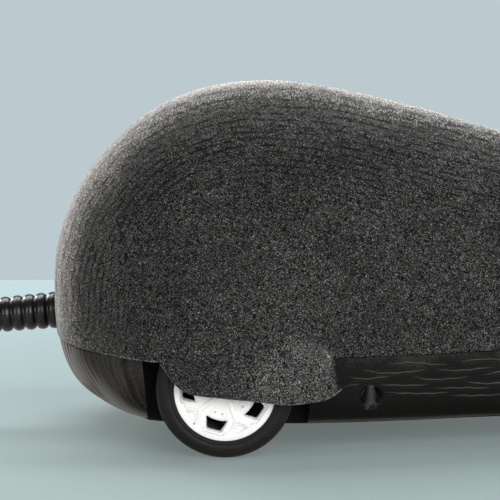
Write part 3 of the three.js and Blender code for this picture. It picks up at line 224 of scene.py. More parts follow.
def pileOf(tree, place, look):
    # Curling fibres: the thin contour lines of one noise, broken up by a finer one
    fibres = addNode(tree, "TexNoise", {"Scale": 1 / (look["fibre"] * mm), "Detail": 1.0,
                                        "Distortion": look["curl"]}, {"Vector": place})
    centred = addNode(tree, "Math", {"operation": "SUBTRACT", 1: 0.5}, {0: fibres.outputs["Fac"]})
    away = addNode(tree, "Math", {"operation": "ABSOLUTE"}, {0: centred.outputs[0]})
    specks = addNode(tree, "TexNoise", {"Scale": 1 / (look["speck"] * mm), "Detail": 1.0},
                     {"Vector": place})
    softer = addNode(tree, "Math", {"operation": "MULTIPLY_ADD", 1: look["speckShare"], 2: look["level"]},
                     {0: specks.outputs["Fac"]})
    mixed = addNode(tree, "Math", {"operation": "MULTIPLY_ADD", 1: -look["contrast"]},
                    {0: away.outputs[0], 2: softer.outputs[0]})
    return mixed.outputs[0]


def flockedAbs():
    # Flocked ABS: short nylon fibres shot upright into glue. Each catches light at its tip and is dark at
    # its root, so the eye sees a fine salt-and-pepper carpet. Where it looks along the pile, the colour is
    # lifted by the facing angle: painted sheen and a painted rim, on top of the shader's own sheen.
    # There the fibres stand out of the surface, so the grain isn't drawn thin.
    look = {"fibre": 0.66, "curl": 1.4, "contrast": 1.9, "speck": 0.24, "speckShare": 0.75, "level": 0.13,
            "draw": 0.2, "part": 0.18, "break": 2.4, "mottle": 15, "cloud": 0.12, "marked": 0.3,
            "paintedSheen": 0.14, "rim": 0.16, "dip": 0.5, "rise": 0.07}
    material, tree, shader, place = startMaterial("flocked ABS", {
        "Roughness": 0.95, "IOR": 1.45, "Specular IOR Level": 0.1,
        "Sheen Weight": 0.62, "Sheen Roughness": 0.28, "Sheen Tint": linear("#fffcf8")})
    edge = addNode(tree, "LayerWeight", {"Blend": 0.5})
    level = pileOf(tree, place, look)
    drawn = addNode(tree, "Mapping", {"Scale": (1, look["draw"], 1)}, {"Vector": place})
    grazed = pileOf(tree, drawn.outputs["Vector"], look)
    along = addNode(tree, "MapRange", {"From Min": 0.3, "From Max": 0.55},
                    {"Value": edge.outputs["Facing"]})
    mixed = addNode(tree, "MixRGB", links={"Fac": along.outputs["Result"], "Color1": level,
                                           "Color2": grazed})
    cloud = addNode(tree, "TexNoise", {"Scale": 1 / (look["mottle"] * mm), "Detail": 2.0},
                    {"Vector": place})
    shade = addNode(tree, "Math", {"operation": "MULTIPLY_ADD", 1: look["cloud"]},
                    {0: cloud.outputs["Fac"], 2: mixed.outputs[0]})
    # This attribute paints light and shade into the colour: painted highlights on the paw and edges,
    # painted shade at the toe
    mark = addNode(tree, "Attribute", {"attribute_name": "mark"})
    withPaintedLight = addNode(tree, "Math", {"operation": "MULTIPLY_ADD", 1: look["marked"]},
                     {0: mark.outputs["Fac"], 2: shade.outputs[0]})
    lines = combLines(tree, place, look)
    # Painted shade: the partings darken the colour, besides dipping the bump below
    parted = addNode(tree, "Math", {"operation": "MULTIPLY_ADD", 1: -look["part"]},
                     {0: lines, 2: withPaintedLight.outputs[0]})
    # Painted sheen: the colour is lifted as the surface turns away from the eye
    paintedSheen = addNode(tree, "MapRange", {"From Min": 0.22, "From Max": 0.62, "To Max": look["paintedSheen"]},
                   {"Value": edge.outputs["Facing"]})
    withPaintedSheen = addNode(tree, "Math", {"operation": "ADD"}, {0: parted.outputs[0], 1: paintedSheen.outputs["Result"]})
    # Painted rim highlight: a further lift right at the silhouette
    rim = addNode(tree, "MapRange", {"From Min": 0.7, "From Max": 1.0, "To Max": look["rim"]},
                  {"Value": edge.outputs["Facing"]})
    withPaintedRim = addNode(tree, "Math", {"operation": "ADD"}, {0: withPaintedSheen.outputs[0], 1: rim.outputs["Result"]})
    colour = rampOf(tree, withPaintedRim.outputs[0], [
        (0.22, "#0a0a0a"), (0.36, "#191919"), (0.47, "#2b2b2b"), (0.60, "#4d4d4c"), (0.76, "#8c8b89"),
        (1.0, "#a59e96")])
    tree.links.new(colour, shader.inputs["Base Color"])
    height = addNode(tree, "Math", {"operation": "MULTIPLY_ADD", 1: -look["dip"]},
                     {0: lines, 2: mixed.outputs[0]})
    bumpOf(tree, shader, height.outputs[0], look["rise"])
    return material


def combLines(tree, place, look):
    # Thin broken partings in the pile, one each time the comb attribute passes a whole number
    count = addNode(tree, "Attribute", {"attribute_name": "comb"})
    combed = addNode(tree, "Attribute", {"attribute_name": "combed"})
    turn = addNode(tree, "Math", {"operation": "MULTIPLY", 1: 2 * math.pi}, {0: count.outputs["Fac"]})
    wave = addNode(tree, "Math", {"operation": "COSINE"}, {0: turn.outputs[0]})
    line = addNode(tree, "MapRange", {"From Min": 0.35, "From Max": 1.0}, {"Value": wave.outputs[0]})
    breaks = addNode(tree, "TexNoise", {"Scale": 1 / (look["break"] * mm), "Detail": 1.0},
                     {"Vector": place})
    kept = addNode(tree, "MapRange", {"From Min": 0.4, "From Max": 0.6}, {"Value": breaks.outputs["Fac"]})
    part = addNode(tree, "Math", {"operation": "MULTIPLY"},
                   {0: line.outputs["Result"], 1: kept.outputs["Result"]})
    deep = addNode(tree, "Math", {"operation": "MULTIPLY"}, {0: part.outputs[0], 1: combed.outputs["Fac"]})
    return deep.outputs[0]


def hairMouldedAbs():
    # Black ABS from a mould with a fine spark-eroded grain: a soft, broken gloss. Its colour carries
    # painted
    # light: highlights on the hair lines' crests, and a painted pale rim towards the silhouette, most on
    # the crests
    look = {"grain": 0.3, "wear": 9, "marked": 0.5, "rise": 0.012}
    material, tree, shader, place = startMaterial("moulded black ABS", {
        "IOR": 1.5, "Specular IOR Level": 0.09})
    grain = addNode(tree, "TexNoise", {"Scale": 1 / (look["grain"] * mm), "Detail": 2.0}, {"Vector": place})
    cloud = addNode(tree, "TexNoise", {"Scale": 1 / (look["wear"] * mm), "Detail": 3.0}, {"Vector": place})
    # This attribute paints light and shade into the colour, on top of a random drift
    crest = addNode(tree, "Attribute", {"attribute_name": "mark"})
    drift = addNode(tree, "MapRange", {"From Min": 0.3, "From Max": 0.7, "To Min": 0.44, "To Max": 0.56},
                    {"Value": cloud.outputs["Fac"]})
    paintedLightAndDrift = addNode(tree, "Math", {"operation": "MULTIPLY_ADD", 1: look["marked"]},
                   {0: crest.outputs["Fac"], 2: drift.outputs["Result"]})
    speck = addNode(tree, "MapRange", {"From Min": 0.25, "From Max": 0.75, "To Min": -0.06, "To Max": 0.06},
                    {"Value": grain.outputs["Fac"]})
    shade = addNode(tree, "Math", {"operation": "ADD"}, {0: paintedLightAndDrift.outputs[0], 1: speck.outputs["Result"]})
    colour = rampOf(tree, shade.outputs[0], [(0.3, "#070707"), (0.6, "#0d0d0c"), (1.0, "#5a5754")])
    gloss = addNode(tree, "MapRange", {"From Min": 0.3, "From Max": 0.7, "To Min": 0.38, "To Max": 0.5},
                    {"Value": cloud.outputs["Fac"]})
    # Painted rim highlight: paler as the surface turns away from the eye, most on the crests
    edge = addNode(tree, "LayerWeight", {"Blend": 0.5})
    rim = addNode(tree, "MapRange", {"From Min": 0.5, "From Max": 0.98}, {"Value": edge.outputs["Facing"]})
    crestHighlight = addNode(tree, "MapRange", {"To Min": 0.3, "To Max": 1.0}, {"Value": crest.outputs["Fac"]})
    share = addNode(tree, "Math", {"operation": "MULTIPLY"},
                    {0: rim.outputs["Result"], 1: crestHighlight.outputs["Result"]})
    pale = addNode(tree, "MixRGB", {"Color2": linear("#b1aca6")},
                   {"Fac": share.outputs[0], "Color1": colour})
    tree.links.new(pale.outputs["Color"], shader.inputs["Base Color"])
    tree.links.new(gloss.outputs["Result"], shader.inputs["Roughness"])
    bumpOf(tree, shader, grain.outputs["Fac"], look["rise"])
    return material


def moulded(name, low, high, gloss, grain, rise, ior=1.5, specular=0.5, coat=0.0):
    # A moulded part's colour drifts a little over a few mm, and its mould leaves a fine grain
    material, tree, shader, place = startMaterial(name, {
        "IOR": ior, "Specular IOR Level": specular, "Coat Weight": coat, "Coat Roughness": 0.06})
    drift = addNode(tree, "TexNoise", {"Scale": 1 / (6 * mm), "Detail": 3.0}, {"Vector": place})
    fine = addNode(tree, "TexNoise", {"Scale": 1 / (grain * mm), "Detail": 2.0}, {"Vector": place})
    colour = rampOf(tree, drift.outputs["Fac"], [(0.3, low), (0.7, high)])
    rough = addNode(tree, "MapRange", {"From Min": 0.25, "From Max": 0.75, "To Min": gloss * 0.85,
                                       "To Max": gloss * 1.15}, {"Value": drift.outputs["Fac"]})
    tree.links.new(colour, shader.inputs["Base Color"])
    tree.links.new(rough.outputs["Result"], shader.inputs["Roughness"])
    bumpOf(tree, shader, fine.outputs["Fac"], rise)
    return material


def whiteAbs():
    # Polished white ABS, white as paper on the face; the barrel behind the windows is painted grey, painted
    # shade for the barrel lying in shadow behind the face
    look = {"barrelTo": 34.6, "faceFrom": 35, "barrelShade": "#62625f"}
    material = moulded("gloss white ABS", "#e6e7e7", "#ededec", 0.2, 0.3, 0.002, specular=0.5, coat=0.3)
    tree = material.node_tree
    shader = tree.nodes["Principled BSDF"]
    unshadedColour = shader.inputs["Base Color"].links[0].from_socket
    place = addNode(tree, "TexCoord")
    parts = addNode(tree, "SeparateXYZ", links={"Vector": place.outputs["Object"]})
    out = addNode(tree, "Math", {"operation": "ABSOLUTE"}, {0: parts.outputs["Y"]})
    depth = addNode(tree, "MapRange", {"From Min": look["barrelTo"] * mm,
                                       "From Max": look["faceFrom"] * mm}, {"Value": out.outputs[0]})
    # painted shade on the barrel, apart from the face's colour
    mix = addNode(tree, "MixRGB", {"Color1": linear(look["barrelShade"])},
                  {"Fac": depth.outputs["Result"], "Color2": unshadedColour})
    tree.links.new(mix.outputs["Color"], shader.inputs["Base Color"])
    return material


def drawnMetal(name, low, high, gloss, grain):
    # Turned or drawn metal: tiny streaks along the draw break the highlight up
    material, tree, shader, place = startMaterial(name, {"Metallic": 1.0})
    fine = 1 / (grain * mm)
    streaks = addNode(tree, "Mapping", {"Scale": (1 / (grain * 8 * mm), fine, fine)}, {"Vector": place})
    lines = addNode(tree, "TexNoise", {"Scale": 1.0, "Detail": 3.0}, {"Vector": streaks.outputs["Vector"]})
    colour = rampOf(tree, lines.outputs["Fac"], [(0.3, low), (0.7, high)])
    rough = addNode(tree, "MapRange", {"From Min": 0.25, "From Max": 0.75, "To Min": gloss * 0.75,
                                       "To Max": gloss * 1.3}, {"Value": lines.outputs["Fac"]})
    tree.links.new(colour, shader.inputs["Base Color"])
    tree.links.new(rough.outputs["Result"], shader.inputs["Roughness"])
    bumpOf(tree, shader, lines.outputs["Fac"], 0.004)
    return material


def rubber(name, low, high, gloss, dustAndPaintedLight, rise, specular):
    # Cured rubber: a fine dull bloom over black, paler where dust sits
    material, tree, shader, place = startMaterial(name, {"IOR": 1.52, "Specular IOR Level": specular})
    bloom = addNode(tree, "TexNoise", {"Scale": 1 / (4 * mm), "Detail": 4.0, "Roughness": 0.65},
                    {"Vector": place})
    specks = addNode(tree, "TexNoise", {"Scale": 1 / (dustAndPaintedLight * mm), "Detail": 2.0}, {"Vector": place})
    mixed = addNode(tree, "Math", {"operation": "MULTIPLY_ADD", 1: 0.45},
                    {0: specks.outputs["Fac"], 2: bloom.outputs["Fac"]})
    colour = rampOf(tree, mixed.outputs[0], [(0.5, low), (0.95, high)])
    rough = addNode(tree, "MapRange", {"From Min": 0.5, "From Max": 0.95, "To Min": gloss * 0.85,
                                       "To Max": gloss * 1.15}, {"Value": mixed.outputs[0]})
    tree.links.new(colour, shader.inputs["Base Color"])
    tree.links.new(rough.outputs["Result"], shader.inputs["Roughness"])
    bumpOf(tree, shader, specks.outputs["Fac"], rise)
    return material


finishes = {
    "flocked_abs": flockedAbs(),
    "black_abs": hairMouldedAbs(),
    # A darker copy of the chassis' black ABS: painted shade, so the gap at the wheel well reads black
    "tub_abs": moulded("matt black ABS", "#040404", "#060606", 0.6, 0.2, 0.01, specular=0.12),
    "door_abs": moulded("fine-grained black ABS", "#0d0d0d", "#131312", 0.45, 0.2, 0.012, specular=0.35),
    "inner_abs": moulded("glass-filled grey ABS", "#1d1e20", "#27282a", 0.55, 0.2, 0.02, specular=0.35),
    "white_abs": whiteAbs(),
    "tyre_rubber": rubber("moulded tyre rubber", "#0f0f0f", "#1a1918", 0.6, 0.25, 0.02, 0.2),
    "tail_rubber": rubber("polished PVC tail", "#0a0a0a", "#111110", 0.3, 0.2, 0.006, 0.36),
    "ear_pvc": moulded("soft grey PVC", "#2a2827", "#34312f", 0.6, 0.25, 0.03, specular=0.35),
    "bead_black": moulded("polished black bead", "#040404", "#070707", 0.06, 0.5, 0.0005, coat=1.0),
    "nylon": moulded("drawn nylon bristle", "#151515", "#1f1f1e", 0.35, 0.1, 0.002),
    "acetal": moulded("natural acetal", "#dedacd", "#e8e5da", 0.38, 0.2, 0.005, ior=1.48),
    "steel": drawnMetal("bright drawn steel", "#a9abad", "#c6c8ca", 0.28, 0.05),
    "brass": drawnMetal("turned brass", "#b8944a", "#cfae63", 0.3, 0.05),
    "cell_sleeve": moulded("printed PVC cell sleeve", "#35624f", "#3f7059", 0.32, 0.4, 0.003, coat=0.4),
    "laminate": moulded("solder-masked laminate", "#1a5435", "#22633f", 0.42, 0.3, 0.006, coat=0.3),
    "epoxy": moulded("moulded epoxy", "#101112", "#191a1b", 0.55, 0.12, 0.01),
}
print("materials made")

# The body's sizes. The powers square its sections: the upper half, the lower half at the two ends, and the
# lower half along the flat belly.
body = {
    "length": 210, "height": 69.4, "halfWidth": 34, "rear": -34.5, "belly": 5.2,
    "upperPower": 2.25, "endPower": 2.4, "bellyPower": 7, "squareFrom": (0.04, 0.12), "squareTo": (0.88, 1),
    "parting": 19.3, "chinParting": 9.5, "dropStart": 0.602, "dropEnd": 0.879, "partingGap": 0.3,
    "haunch": {"bulge": 6.3, "reach": 19, "rise": 22, "x": -2, "z": 14}, "pawDome": 0.6,
    "rearPaw": {"x": 12.6, "y": 35, "z": 14.8, "length": 9.6, "depth": 6.8, "height": 9.2, "blend": 1.6},
    "frontPaw": {"x": 128, "y": 14.6, "z": 9.8, "length": 10, "depth": 4.6, "height": 4.4, "blend": 0.8},
}
# Its form, row by row along its length: shares of the length, of the height for the top, the widest line
# and the underside, and of the half width
stationShares = np.array([
    [0, 0.389, 0.389, 0.389, 0],
    [0.0007, 0.478, 0.389, 0.34, 0.159],
    [0.0033, 0.533, 0.383, 0.262, 0.3],
    [0.011, 0.612, 0.367, 0.189, 0.485],
    [0.026, 0.71, 0.334, 0.129, 0.676],
    [0.0495, 0.801, 0.297, 0.0865, 0.835],
    [0.0805, 0.89, 0.28, 0.0745, 0.944],
    [0.126, 0.964, 0.278, 0.071, 0.997],
    [0.183, 1, 0.278, 0.066, 1],
    [0.25, 0.99, 0.278, 0.066, 0.994],
    [0.345, 0.927, 0.278, 0.066, 0.871],
    [0.424, 0.86, 0.278, 0.066, 0.735],
    [0.521, 0.777, 0.278, 0.066, 0.641],
    [0.617, 0.7, 0.272, 0.066, 0.588],
    [0.7, 0.634, 0.26, 0.066, 0.553],
    [0.783, 0.54, 0.245, 0.066, 0.471],
    [0.86, 0.434, 0.225, 0.07, 0.359],
    [0.926, 0.337, 0.209, 0.104, 0.241],
    [0.969, 0.277, 0.2, 0.13, 0.147],
    [0.993, 0.236, 0.196, 0.159, 0.07],
    [1, 0.195, 0.195, 0.195, 0],
])


def bentBetween(start, end, slopeIn, slopeOut, share):
    # A place between two points on the curve that has these slopes at its ends
    bend = 3 * (end - start) - 2 * slopeIn - slopeOut
    turn = 2 * (start - end) + slopeIn + slopeOut
    return start + slopeIn * share + bend * share ** 2 + turn * share ** 3


def curveThrough(table, share):
    # A smooth line through the table's rows, at a share of its row count
    last = len(table) - 1
    at = np.clip(np.asarray(share, float), 0, 1) * last
    index = np.minimum(np.floor(at).astype(int), last - 1)
    weight = (at - index)[..., None]
    longer = np.vstack([2 * table[0] - table[1], table, 2 * table[-1] - table[-2]])
    before, start, end, after = (longer[index + k] for k in range(4))
    return bentBetween(start, end, (end - before) / 2, (after - start) / 2, weight)


def smoothStep(value, low, high):
    share = np.clip((value - low) / (high - low), 0, 1)
    return share * share * (3 - 2 * share)


def rowAt(share):
    row = curveThrough(stationShares, share)
    along = row[..., 0]
    square = smoothStep(along, *body["squareFrom"]) * (1 - smoothStep(along, *body["squareTo"]))
    return {
        "x": body["rear"] + body["length"] * along,
        "top": body["height"] * row[..., 1],
        "middle": body["height"] * row[..., 2],
        "bottom": body["height"] * row[..., 3],
        "halfWidth": body["halfWidth"] * row[..., 4],
        "lowerPower": body["endPower"] + (body["bellyPower"] - body["endPower"]) * square,
    }


def partingAt(x):
    start = body["rear"] + body["length"] * body["dropStart"]
    end = body["rear"] + body["length"] * body["dropEnd"]
    return body["parting"] + (body["chinParting"] - body["parting"]) * smoothStep(x, start, end)


def haunchAt(x, z):
    haunch = body["haunch"]
    along = (x - haunch["x"]) / haunch["reach"]
    rise = (z - haunch["z"]) / haunch["rise"]
    return haunch["bulge"] * np.exp(-along ** 4 - rise ** 4)


def pawReach(paw, x, z):
    # How far out the paw's rounded form reaches beside the skin, far inside where the paw isn't
    inside = 1 - ((x - paw["x"]) / paw["length"]) ** 2 - ((z - paw["z"]) / paw["height"]) ** 2
    dome = np.abs(inside) ** body["pawDome"]
    return paw["y"] + paw["depth"] * np.where(inside > 0, dome, -4 * dome)


def smoothMax(a, b, blend):
    share = np.clip(0.5 + (a - b) / (2 * blend), 0, 1)
    return b + (a - b) * share + blend * share * (1 - share)


def dressedWidth(y, across, x, z):
    # The bare skin's reach with the haunch over it, and the paws where they are near
    y = y + haunchAt(x, z) * across
    for name in ("rearPaw", "frontPaw"):
        paw = body[name]
        near = (np.abs(x - paw["x"]) < 1.6 * paw["length"]) & (z < paw["z"] + 2 * paw["height"])
        y = np.where(near, smoothMax(y, pawReach(paw, x, z), paw["blend"]), y)
    return y


sectionAngles = np.linspace(math.pi / 2, -math.pi / 2, 721)


def halfSection(share, high, low, count, inset=0.0, dressed=True):
    # One side of the section, from its top or the height given down to the low height, evenly spaced
    row = rowAt(share)
    x = body["rear"] + inset + (row["x"] - body["rear"]) * (body["length"] - 2 * inset) / body["length"]
    isUpper = sectionAngles >= 0
    power = np.where(isUpper, 2 / body["upperPower"], 2 / row["lowerPower"])
    across = np.abs(np.cos(sectionAngles)) ** power
    rise = np.sign(sectionAngles) * np.abs(np.sin(sectionAngles)) ** power
    reach = np.where(isUpper, row["top"] - row["middle"], row["middle"] - row["bottom"])
    fullFrom = max(3 * inset, 0.001)  # a form shallower than this is drawn in less
    drawn = inset * np.minimum(1, reach / fullFrom)
    sideDraw = inset * min(1, row["halfWidth"] / fullFrom)
    z = row["middle"] + rise * (reach - drawn * isUpper)
    y = across * (row["halfWidth"] - sideDraw)
    if dressed:
        y = dressedWidth(y, across, float(row["x"]), z)
    kept = (z <= high + tiny) & (z >= low - tiny)
    topPoint = [np.interp(-high, -z, y), high] if high < z[0] else None
    lowPoint = [np.interp(-low, -z, y), low] if low > z[-1] else None
    line = np.column_stack([y[kept], z[kept]])
    if topPoint:
        line = np.vstack([topPoint, line])
    if lowPoint:
        line = np.vstack([line, lowPoint])
    steps = np.r_[0, np.cumsum(np.hypot(*np.diff(line, axis=0).T))]
    at = np.linspace(0, steps[-1], count) if np.isscalar(count) else count * steps[-1]
    y, z = (np.interp(at, steps, line[:, column]) for column in (0, 1))
    return np.column_stack([np.full(len(at), x), y, z])


fineShares = np.linspace(0, 1, 8001)
fineRows = rowAt(fineShares)


def shareAtX(x):
    return np.interp(x, fineRows["x"], fineShares)


def skinAt(x, z):
    # How far out the dressed skin stands at places seen from the side
    row = rowAt(shareAtX(x))
    isUpper = z >= row["middle"]
    reach = np.where(isUpper, row["top"] - row["middle"], row["middle"] - row["bottom"])
    power = np.where(isUpper, body["upperPower"], row["lowerPower"])
    across = (1 - np.clip(np.abs(z - row["middle"]) / reach, 0, 1) ** power) ** (1 / power)
    return dressedWidth(across * row["halfWidth"], across, x, z)


def sharesAlong(heights, start, end, count, dense=None):
    # Rows evenly spaced along the profile that the heights draw, closer together where it is to be dense
    inside = (fineShares >= start) & (fineShares <= end)
    x = fineRows["x"][inside]
    z = heights[inside]
    stretch = np.hypot(np.diff(x), np.diff(z))
    if dense:
        low, high, factor = dense
        stretch = stretch * np.where((x[1:] > low) & (x[1:] < high), factor, 1)
    steps = np.r_[0, np.cumsum(stretch)]
    return np.interp(np.linspace(0, steps[-1], count), steps, fineShares[inside])


def snapped(shares, targets):
    for target in targets:
        shares[np.argmin(np.abs(shares - target))] = target
    return np.sort(shares)


def bothSides(rows):
    # Half sections from the top down become whole ones, from the low edge on the right to that on the left
    left = np.array(rows)
    right = left[:, ::-1] * (np.array([1, -1, 1]) if left.shape[2] == 3 else 1)
    return np.concatenate([right[:, :-1], left], axis=1)


def normalsOf(places):
    along = np.gradient(places, axis=0)
    across = np.gradient(places, axis=1)
    normals = np.cross(across, along)
    length = np.linalg.norm(normals, axis=2, keepdims=True)
    return normals / np.maximum(length, tiny)


def waves(points, seed, lengths, each=4):
    # Smooth seeded unevenness from a few crossing waves of each length, mostly from -1 to 1
    random = np.random.default_rng(seed)
    total = np.zeros(points.shape[:-1])
    for length in lengths:
        for _ in range(each):
            direction = random.normal(size=points.shape[-1])
            direction *= 2 * math.pi / (length * np.linalg.norm(direction))
            total += np.sin(points @ direction + random.uniform(0, 2 * math.pi))
    return total / (each * len(lengths)) * 1.6  # the mean of the waves seldom passes 1 / 1.6


# Flocked shell: the upper form as one skin of combed pile, with a fender over each rear wheel
shell = {
    "rows": 360, "columns": 110, "wall": 1.8, "innerEvery": 8, "dense": (9, 22, 2.6), "seed": 41,
    "grain": 0.05, "fray": 0.07, "frayRates": (5.1, 8.3), "hang": 0.1, "hangFrom": (21.2, 22),
    "pawHighlight": 0.27, "rearEdge": (-24, 0), "rearEdgeHighlight": 0.4, "toeShade": (0.2, 0.6, 1.2),
    "toeInset": 0.9, "lipHighlight": (0.2, 0.6), "lipLengths": [6, 2.5],
}
comb = {
    "pitch": 1.15, "sway": 0.4, "swayLengths": [34, 17], "tremble": 0.16, "trembleLengths": [7, 4],
    "fade": 0.95, "fadeAway": (9, 22), "fadeDown": (18, 30), "search": 30, "every": 12,
}
folds = {
    "behind": 6, "below": 2, "squash": 1.25, "sway": 0.25, "swayLengths": [9, 5], "pitch": 1.35,
    "at": 12.6, "spread": 3.6, "depth": 0.22, "fadeIn": 4,
}
fender = {
    "edge": np.array([
        (-13.0, 19.45), (-11.8, 18.0), (-10.2, 15.6), (-8.4, 14.0), (-6.0, 13.1), (0.3, 12.4), (6.1, 11.8),
        (10.6, 11.45), (13.3, 11.45), (16.0, 11.7), (19.4, 12.1), (21.2, 12.8), (22.8, 13.9)]),
    "front": np.array([(13.9, 1.6), (15.3, 1.05), (16.6, 0.8), (18.6, 0.3), (19.45, 0)]),
    "leanFrom": 11, "toe": 21.2, "columns": 16, "lip": 0.5, "lipRows": (0.6, 0.2), "roll": 0.8,
    "proud": 1.5, "proudOver": 2,
}


def shellEdgeAt(x):
    # The pile hangs over the joint ahead of the fender, and frays along it
    first, second = shell["frayRates"]
    fray = shell["fray"] * (math.sin(x * first) + math.sin(x * second + 1)) / 2
    ahead = float(smoothStep(x, *shell["hangFrom"]))
    return float(partingAt(x) + body["partingGap"] / 2) + ahead * (fray - shell["hang"])


def fenderHalf(x, top):
    # One row of the fender, from the parting line down to its lower edge, leaning forward towards the toe
    lean = float(smoothStep(x, fender["leanFrom"], fender["toe"]))
    edgeX, edgeZ = fender["edge"].T

    def leanAt(z):
        return lean * np.interp(z, *fender["front"].T)

    low = top
    for _ in range(8):  # closes in on the lower edge, because the lean depends on its height
        low = float(np.interp(x + leanAt(low), edgeX, edgeZ))
    length = max(top - low, 0.001)
    lip = fender["lip"]
    steps = np.linspace(0, 1, fender["columns"] - 3) * max(length - lip, length * 0.4)
    lipSteps = [length - lip * share * min(1, length) for share in fender["lipRows"]]
    steps = np.maximum.accumulate(np.r_[steps, lipSteps, length])
    z = top - steps
    along = x + leanAt(z)
    y = skinAt(along - fender["proud"] * lean * smoothStep(steps, 0, fender["proudOver"]), z)
    near = np.clip(1 - (length - steps) / lip, 0, 1)
    y = y - lip * (1 - np.sqrt(1 - near ** 2)) * fender["roll"]
    return np.column_stack([along, y, z])


def upperHalf(share, x):
    # One row of the main skin, from the spine down to the parting line or the underside
    row = rowAt(share)
    low = max(shellEdgeAt(float(x)), float(row["bottom"]))
    return halfSection(share, float(row["top"]), low, shell["columns"])


def flockedShell():
    edges = np.array([shellEdgeAt(x) for x in fineRows["x"]])
    isOpen = np.nonzero(fineRows["bottom"] < edges)[0]
    shares = sharesAlong(fineRows["top"], 0, 1, shell["rows"], shell["dense"])
    fenderEnds = np.array([fender["edge"][0, 0], fender["toe"]])
    shares = snapped(shares, [fineShares[isOpen[0]], fineShares[isOpen[-1]], *shareAtX(fenderEnds)])
    xs = rowAt(shares)["x"]
    isFender = (xs >= fenderEnds[0] - 1e-6) & (xs <= fenderEnds[1] + 1e-6)
    upper = np.array([upperHalf(share, x) for share, x in zip(shares, xs)])
    lower = np.array([fenderHalf(float(x), float(half[-1, 2]))
                      for x, half in zip(xs[isFender], upper[isFender])])
    lower[:, 0] = upper[isFender, -1]
    upperNormals = outward(normalsOf(upper), upper)
    joined = np.concatenate([upper[isFender, -4:-1], lower], axis=1)
    lowerNormals = outward(normalsOf(joined), joined)[:, 3:]
    upperNormals[0] = [-1, 0, 0]
    upperNormals[-1] = [1, 0, 0]
    lowerNormals[0] = upperNormals[isFender, -2][0]
    upperNormals[isFender, -1] = lowerNormals[:, 0]
    upperNormals[:, 0, 1] = 0
    relief, lowerRelief = pileRelief(upper, lower, isFender)
    marks, lowerMarks = pileMarks(upper, lower, isFender, xs)
    lineCount, lineDepth = combing(upper)
    skins = bmesh.new()
    addSkins(skins, upper + upperNormals * relief[..., None], lower + lowerNormals * lowerRelief[..., None],
             {"mark": marks, "comb": lineCount, "combed": lineDepth}, {"mark": lowerMarks})
    picked = np.r_[np.arange(0, shell["columns"] - 1, shell["innerEvery"]), shell["columns"] - 1]
    innerUpper = (upper - upperNormals * shell["wall"])[:, picked]
    innerLower = lower - lowerNormals * shell["wall"]
    innerLower[-1, :, 0] -= shell["toeInset"]
    addSkins(skins, innerUpper, innerLower)
    bmesh.ops.bridge_loops(skins, edges=[edge for edge in skins.edges if edge.is_boundary])
    faceOut(skins)
    return skins


def pileRelief(upper, lower, isFender):
    # Fine unevenness and the paw's folds, none where the skins meet or end
    random = np.random.default_rng(shell["seed"])
    relief = random.uniform(-1, 1, upper.shape[:2]) * shell["grain"]
    relief[0] = relief[-1] = relief[:, 0] = 0
    relief[~isFender, -1] = 0
    lowerRelief = random.uniform(-1, 1, lower.shape[:2]) * shell["grain"] + pawRidges(lower)
    relief += pawRidges(upper)
    lowerRelief[:, -1] = lowerRelief[-1] = 0
    lowerRelief[:, 0] = relief[isFender, -1]
    return relief, lowerRelief


def pileMarks(upper, lower, isFender, xs):
    # Painted light: a painted highlight on the paw, along the edge behind the wheel and, broken, along the
    # fender's lip; painted shade at the toe
    marks = paintPawHighlight(upper)
    rear, front = shell["rearEdge"]
    # painted highlight where the edge behind the wheel catches the light
    marks[(xs > rear) & ~isFender & (xs < front), -1] = shell["rearEdgeHighlight"]
    lowerMarks = paintPawHighlight(lower)
    # painted shade along the toe's front edge
    lowerMarks[-3:] -= np.array(shell["toeShade"])[:, None]
    # painted highlight, broken, along the fender's lip where it catches the light
    mean, spread = shell["lipHighlight"]
    broken = waves(lower[:, -2:], shell["seed"] + 9, shell["lipLengths"])
    lowerMarks[:, -2:] = np.clip(mean + spread * broken, 0, 1)
    return marks, lowerMarks


def outward(normals, places):
    # The normals turned away from a point in the middle of the body, its length counting least
    facing = np.sign(np.sum(normals * (places - [0, 0, 25]) * [0.3, 1, 1], axis=2, keepdims=True))
    return normals * np.where(facing == 0, 1, facing)


def addSkins(bm, upper, lower, marks=None, lowerMarks=None):
    part = bmesh.new()
    whole = {name: bothSides(values[..., None])[..., 0] for name, values in (marks or {}).items()}
    gridOf(part, toFrame(bothSides(upper)), **whole)
    for side in sides.values():
        gridOf(part, toFrame(lower * np.array([1, side, 1])), **(lowerMarks or {}))
    mergeDoubles(part)
    mesh = bpy.data.meshes.new("skin")
    part.to_mesh(mesh)
    part.free()
    bm.from_mesh(mesh)


def paintPawHighlight(places):
    # Painted highlight on the paw's dome, where it faces the light, centred 1 mm ahead of its middle and
    # above it
    x, _, z = np.moveaxis(places, 2, 0)
    paw = body["rearPaw"]
    inside = 1 - ((x - paw["x"] - 1) / paw["length"]) ** 2 - ((z - paw["z"] - 1) / paw["height"]) ** 2
    return shell["pawHighlight"] * np.clip(inside * 1.6, 0, 1)


def pawRidges(places):
    # Rounded folds that follow the toe's front edge, strongest near it
    x, _, z = np.moveaxis(places, 2, 0)
    paw = body["rearPaw"]
    away = np.hypot(x - paw["x"] + folds["behind"], (z - paw["z"] + folds["below"]) * folds["squash"])
    sway = waves(places, shell["seed"] + 5, folds["swayLengths"]) * folds["sway"]
    fold = (0.5 + 0.5 * np.cos(2 * math.pi * (away + sway) / folds["pitch"])) ** 2
    near = np.clip(1 - np.abs(away - folds["at"]) / folds["spread"], 0, 1) ** 0.5
    return -folds["depth"] * fold * near * smoothStep(x, paw["x"], paw["x"] + folds["fadeIn"])


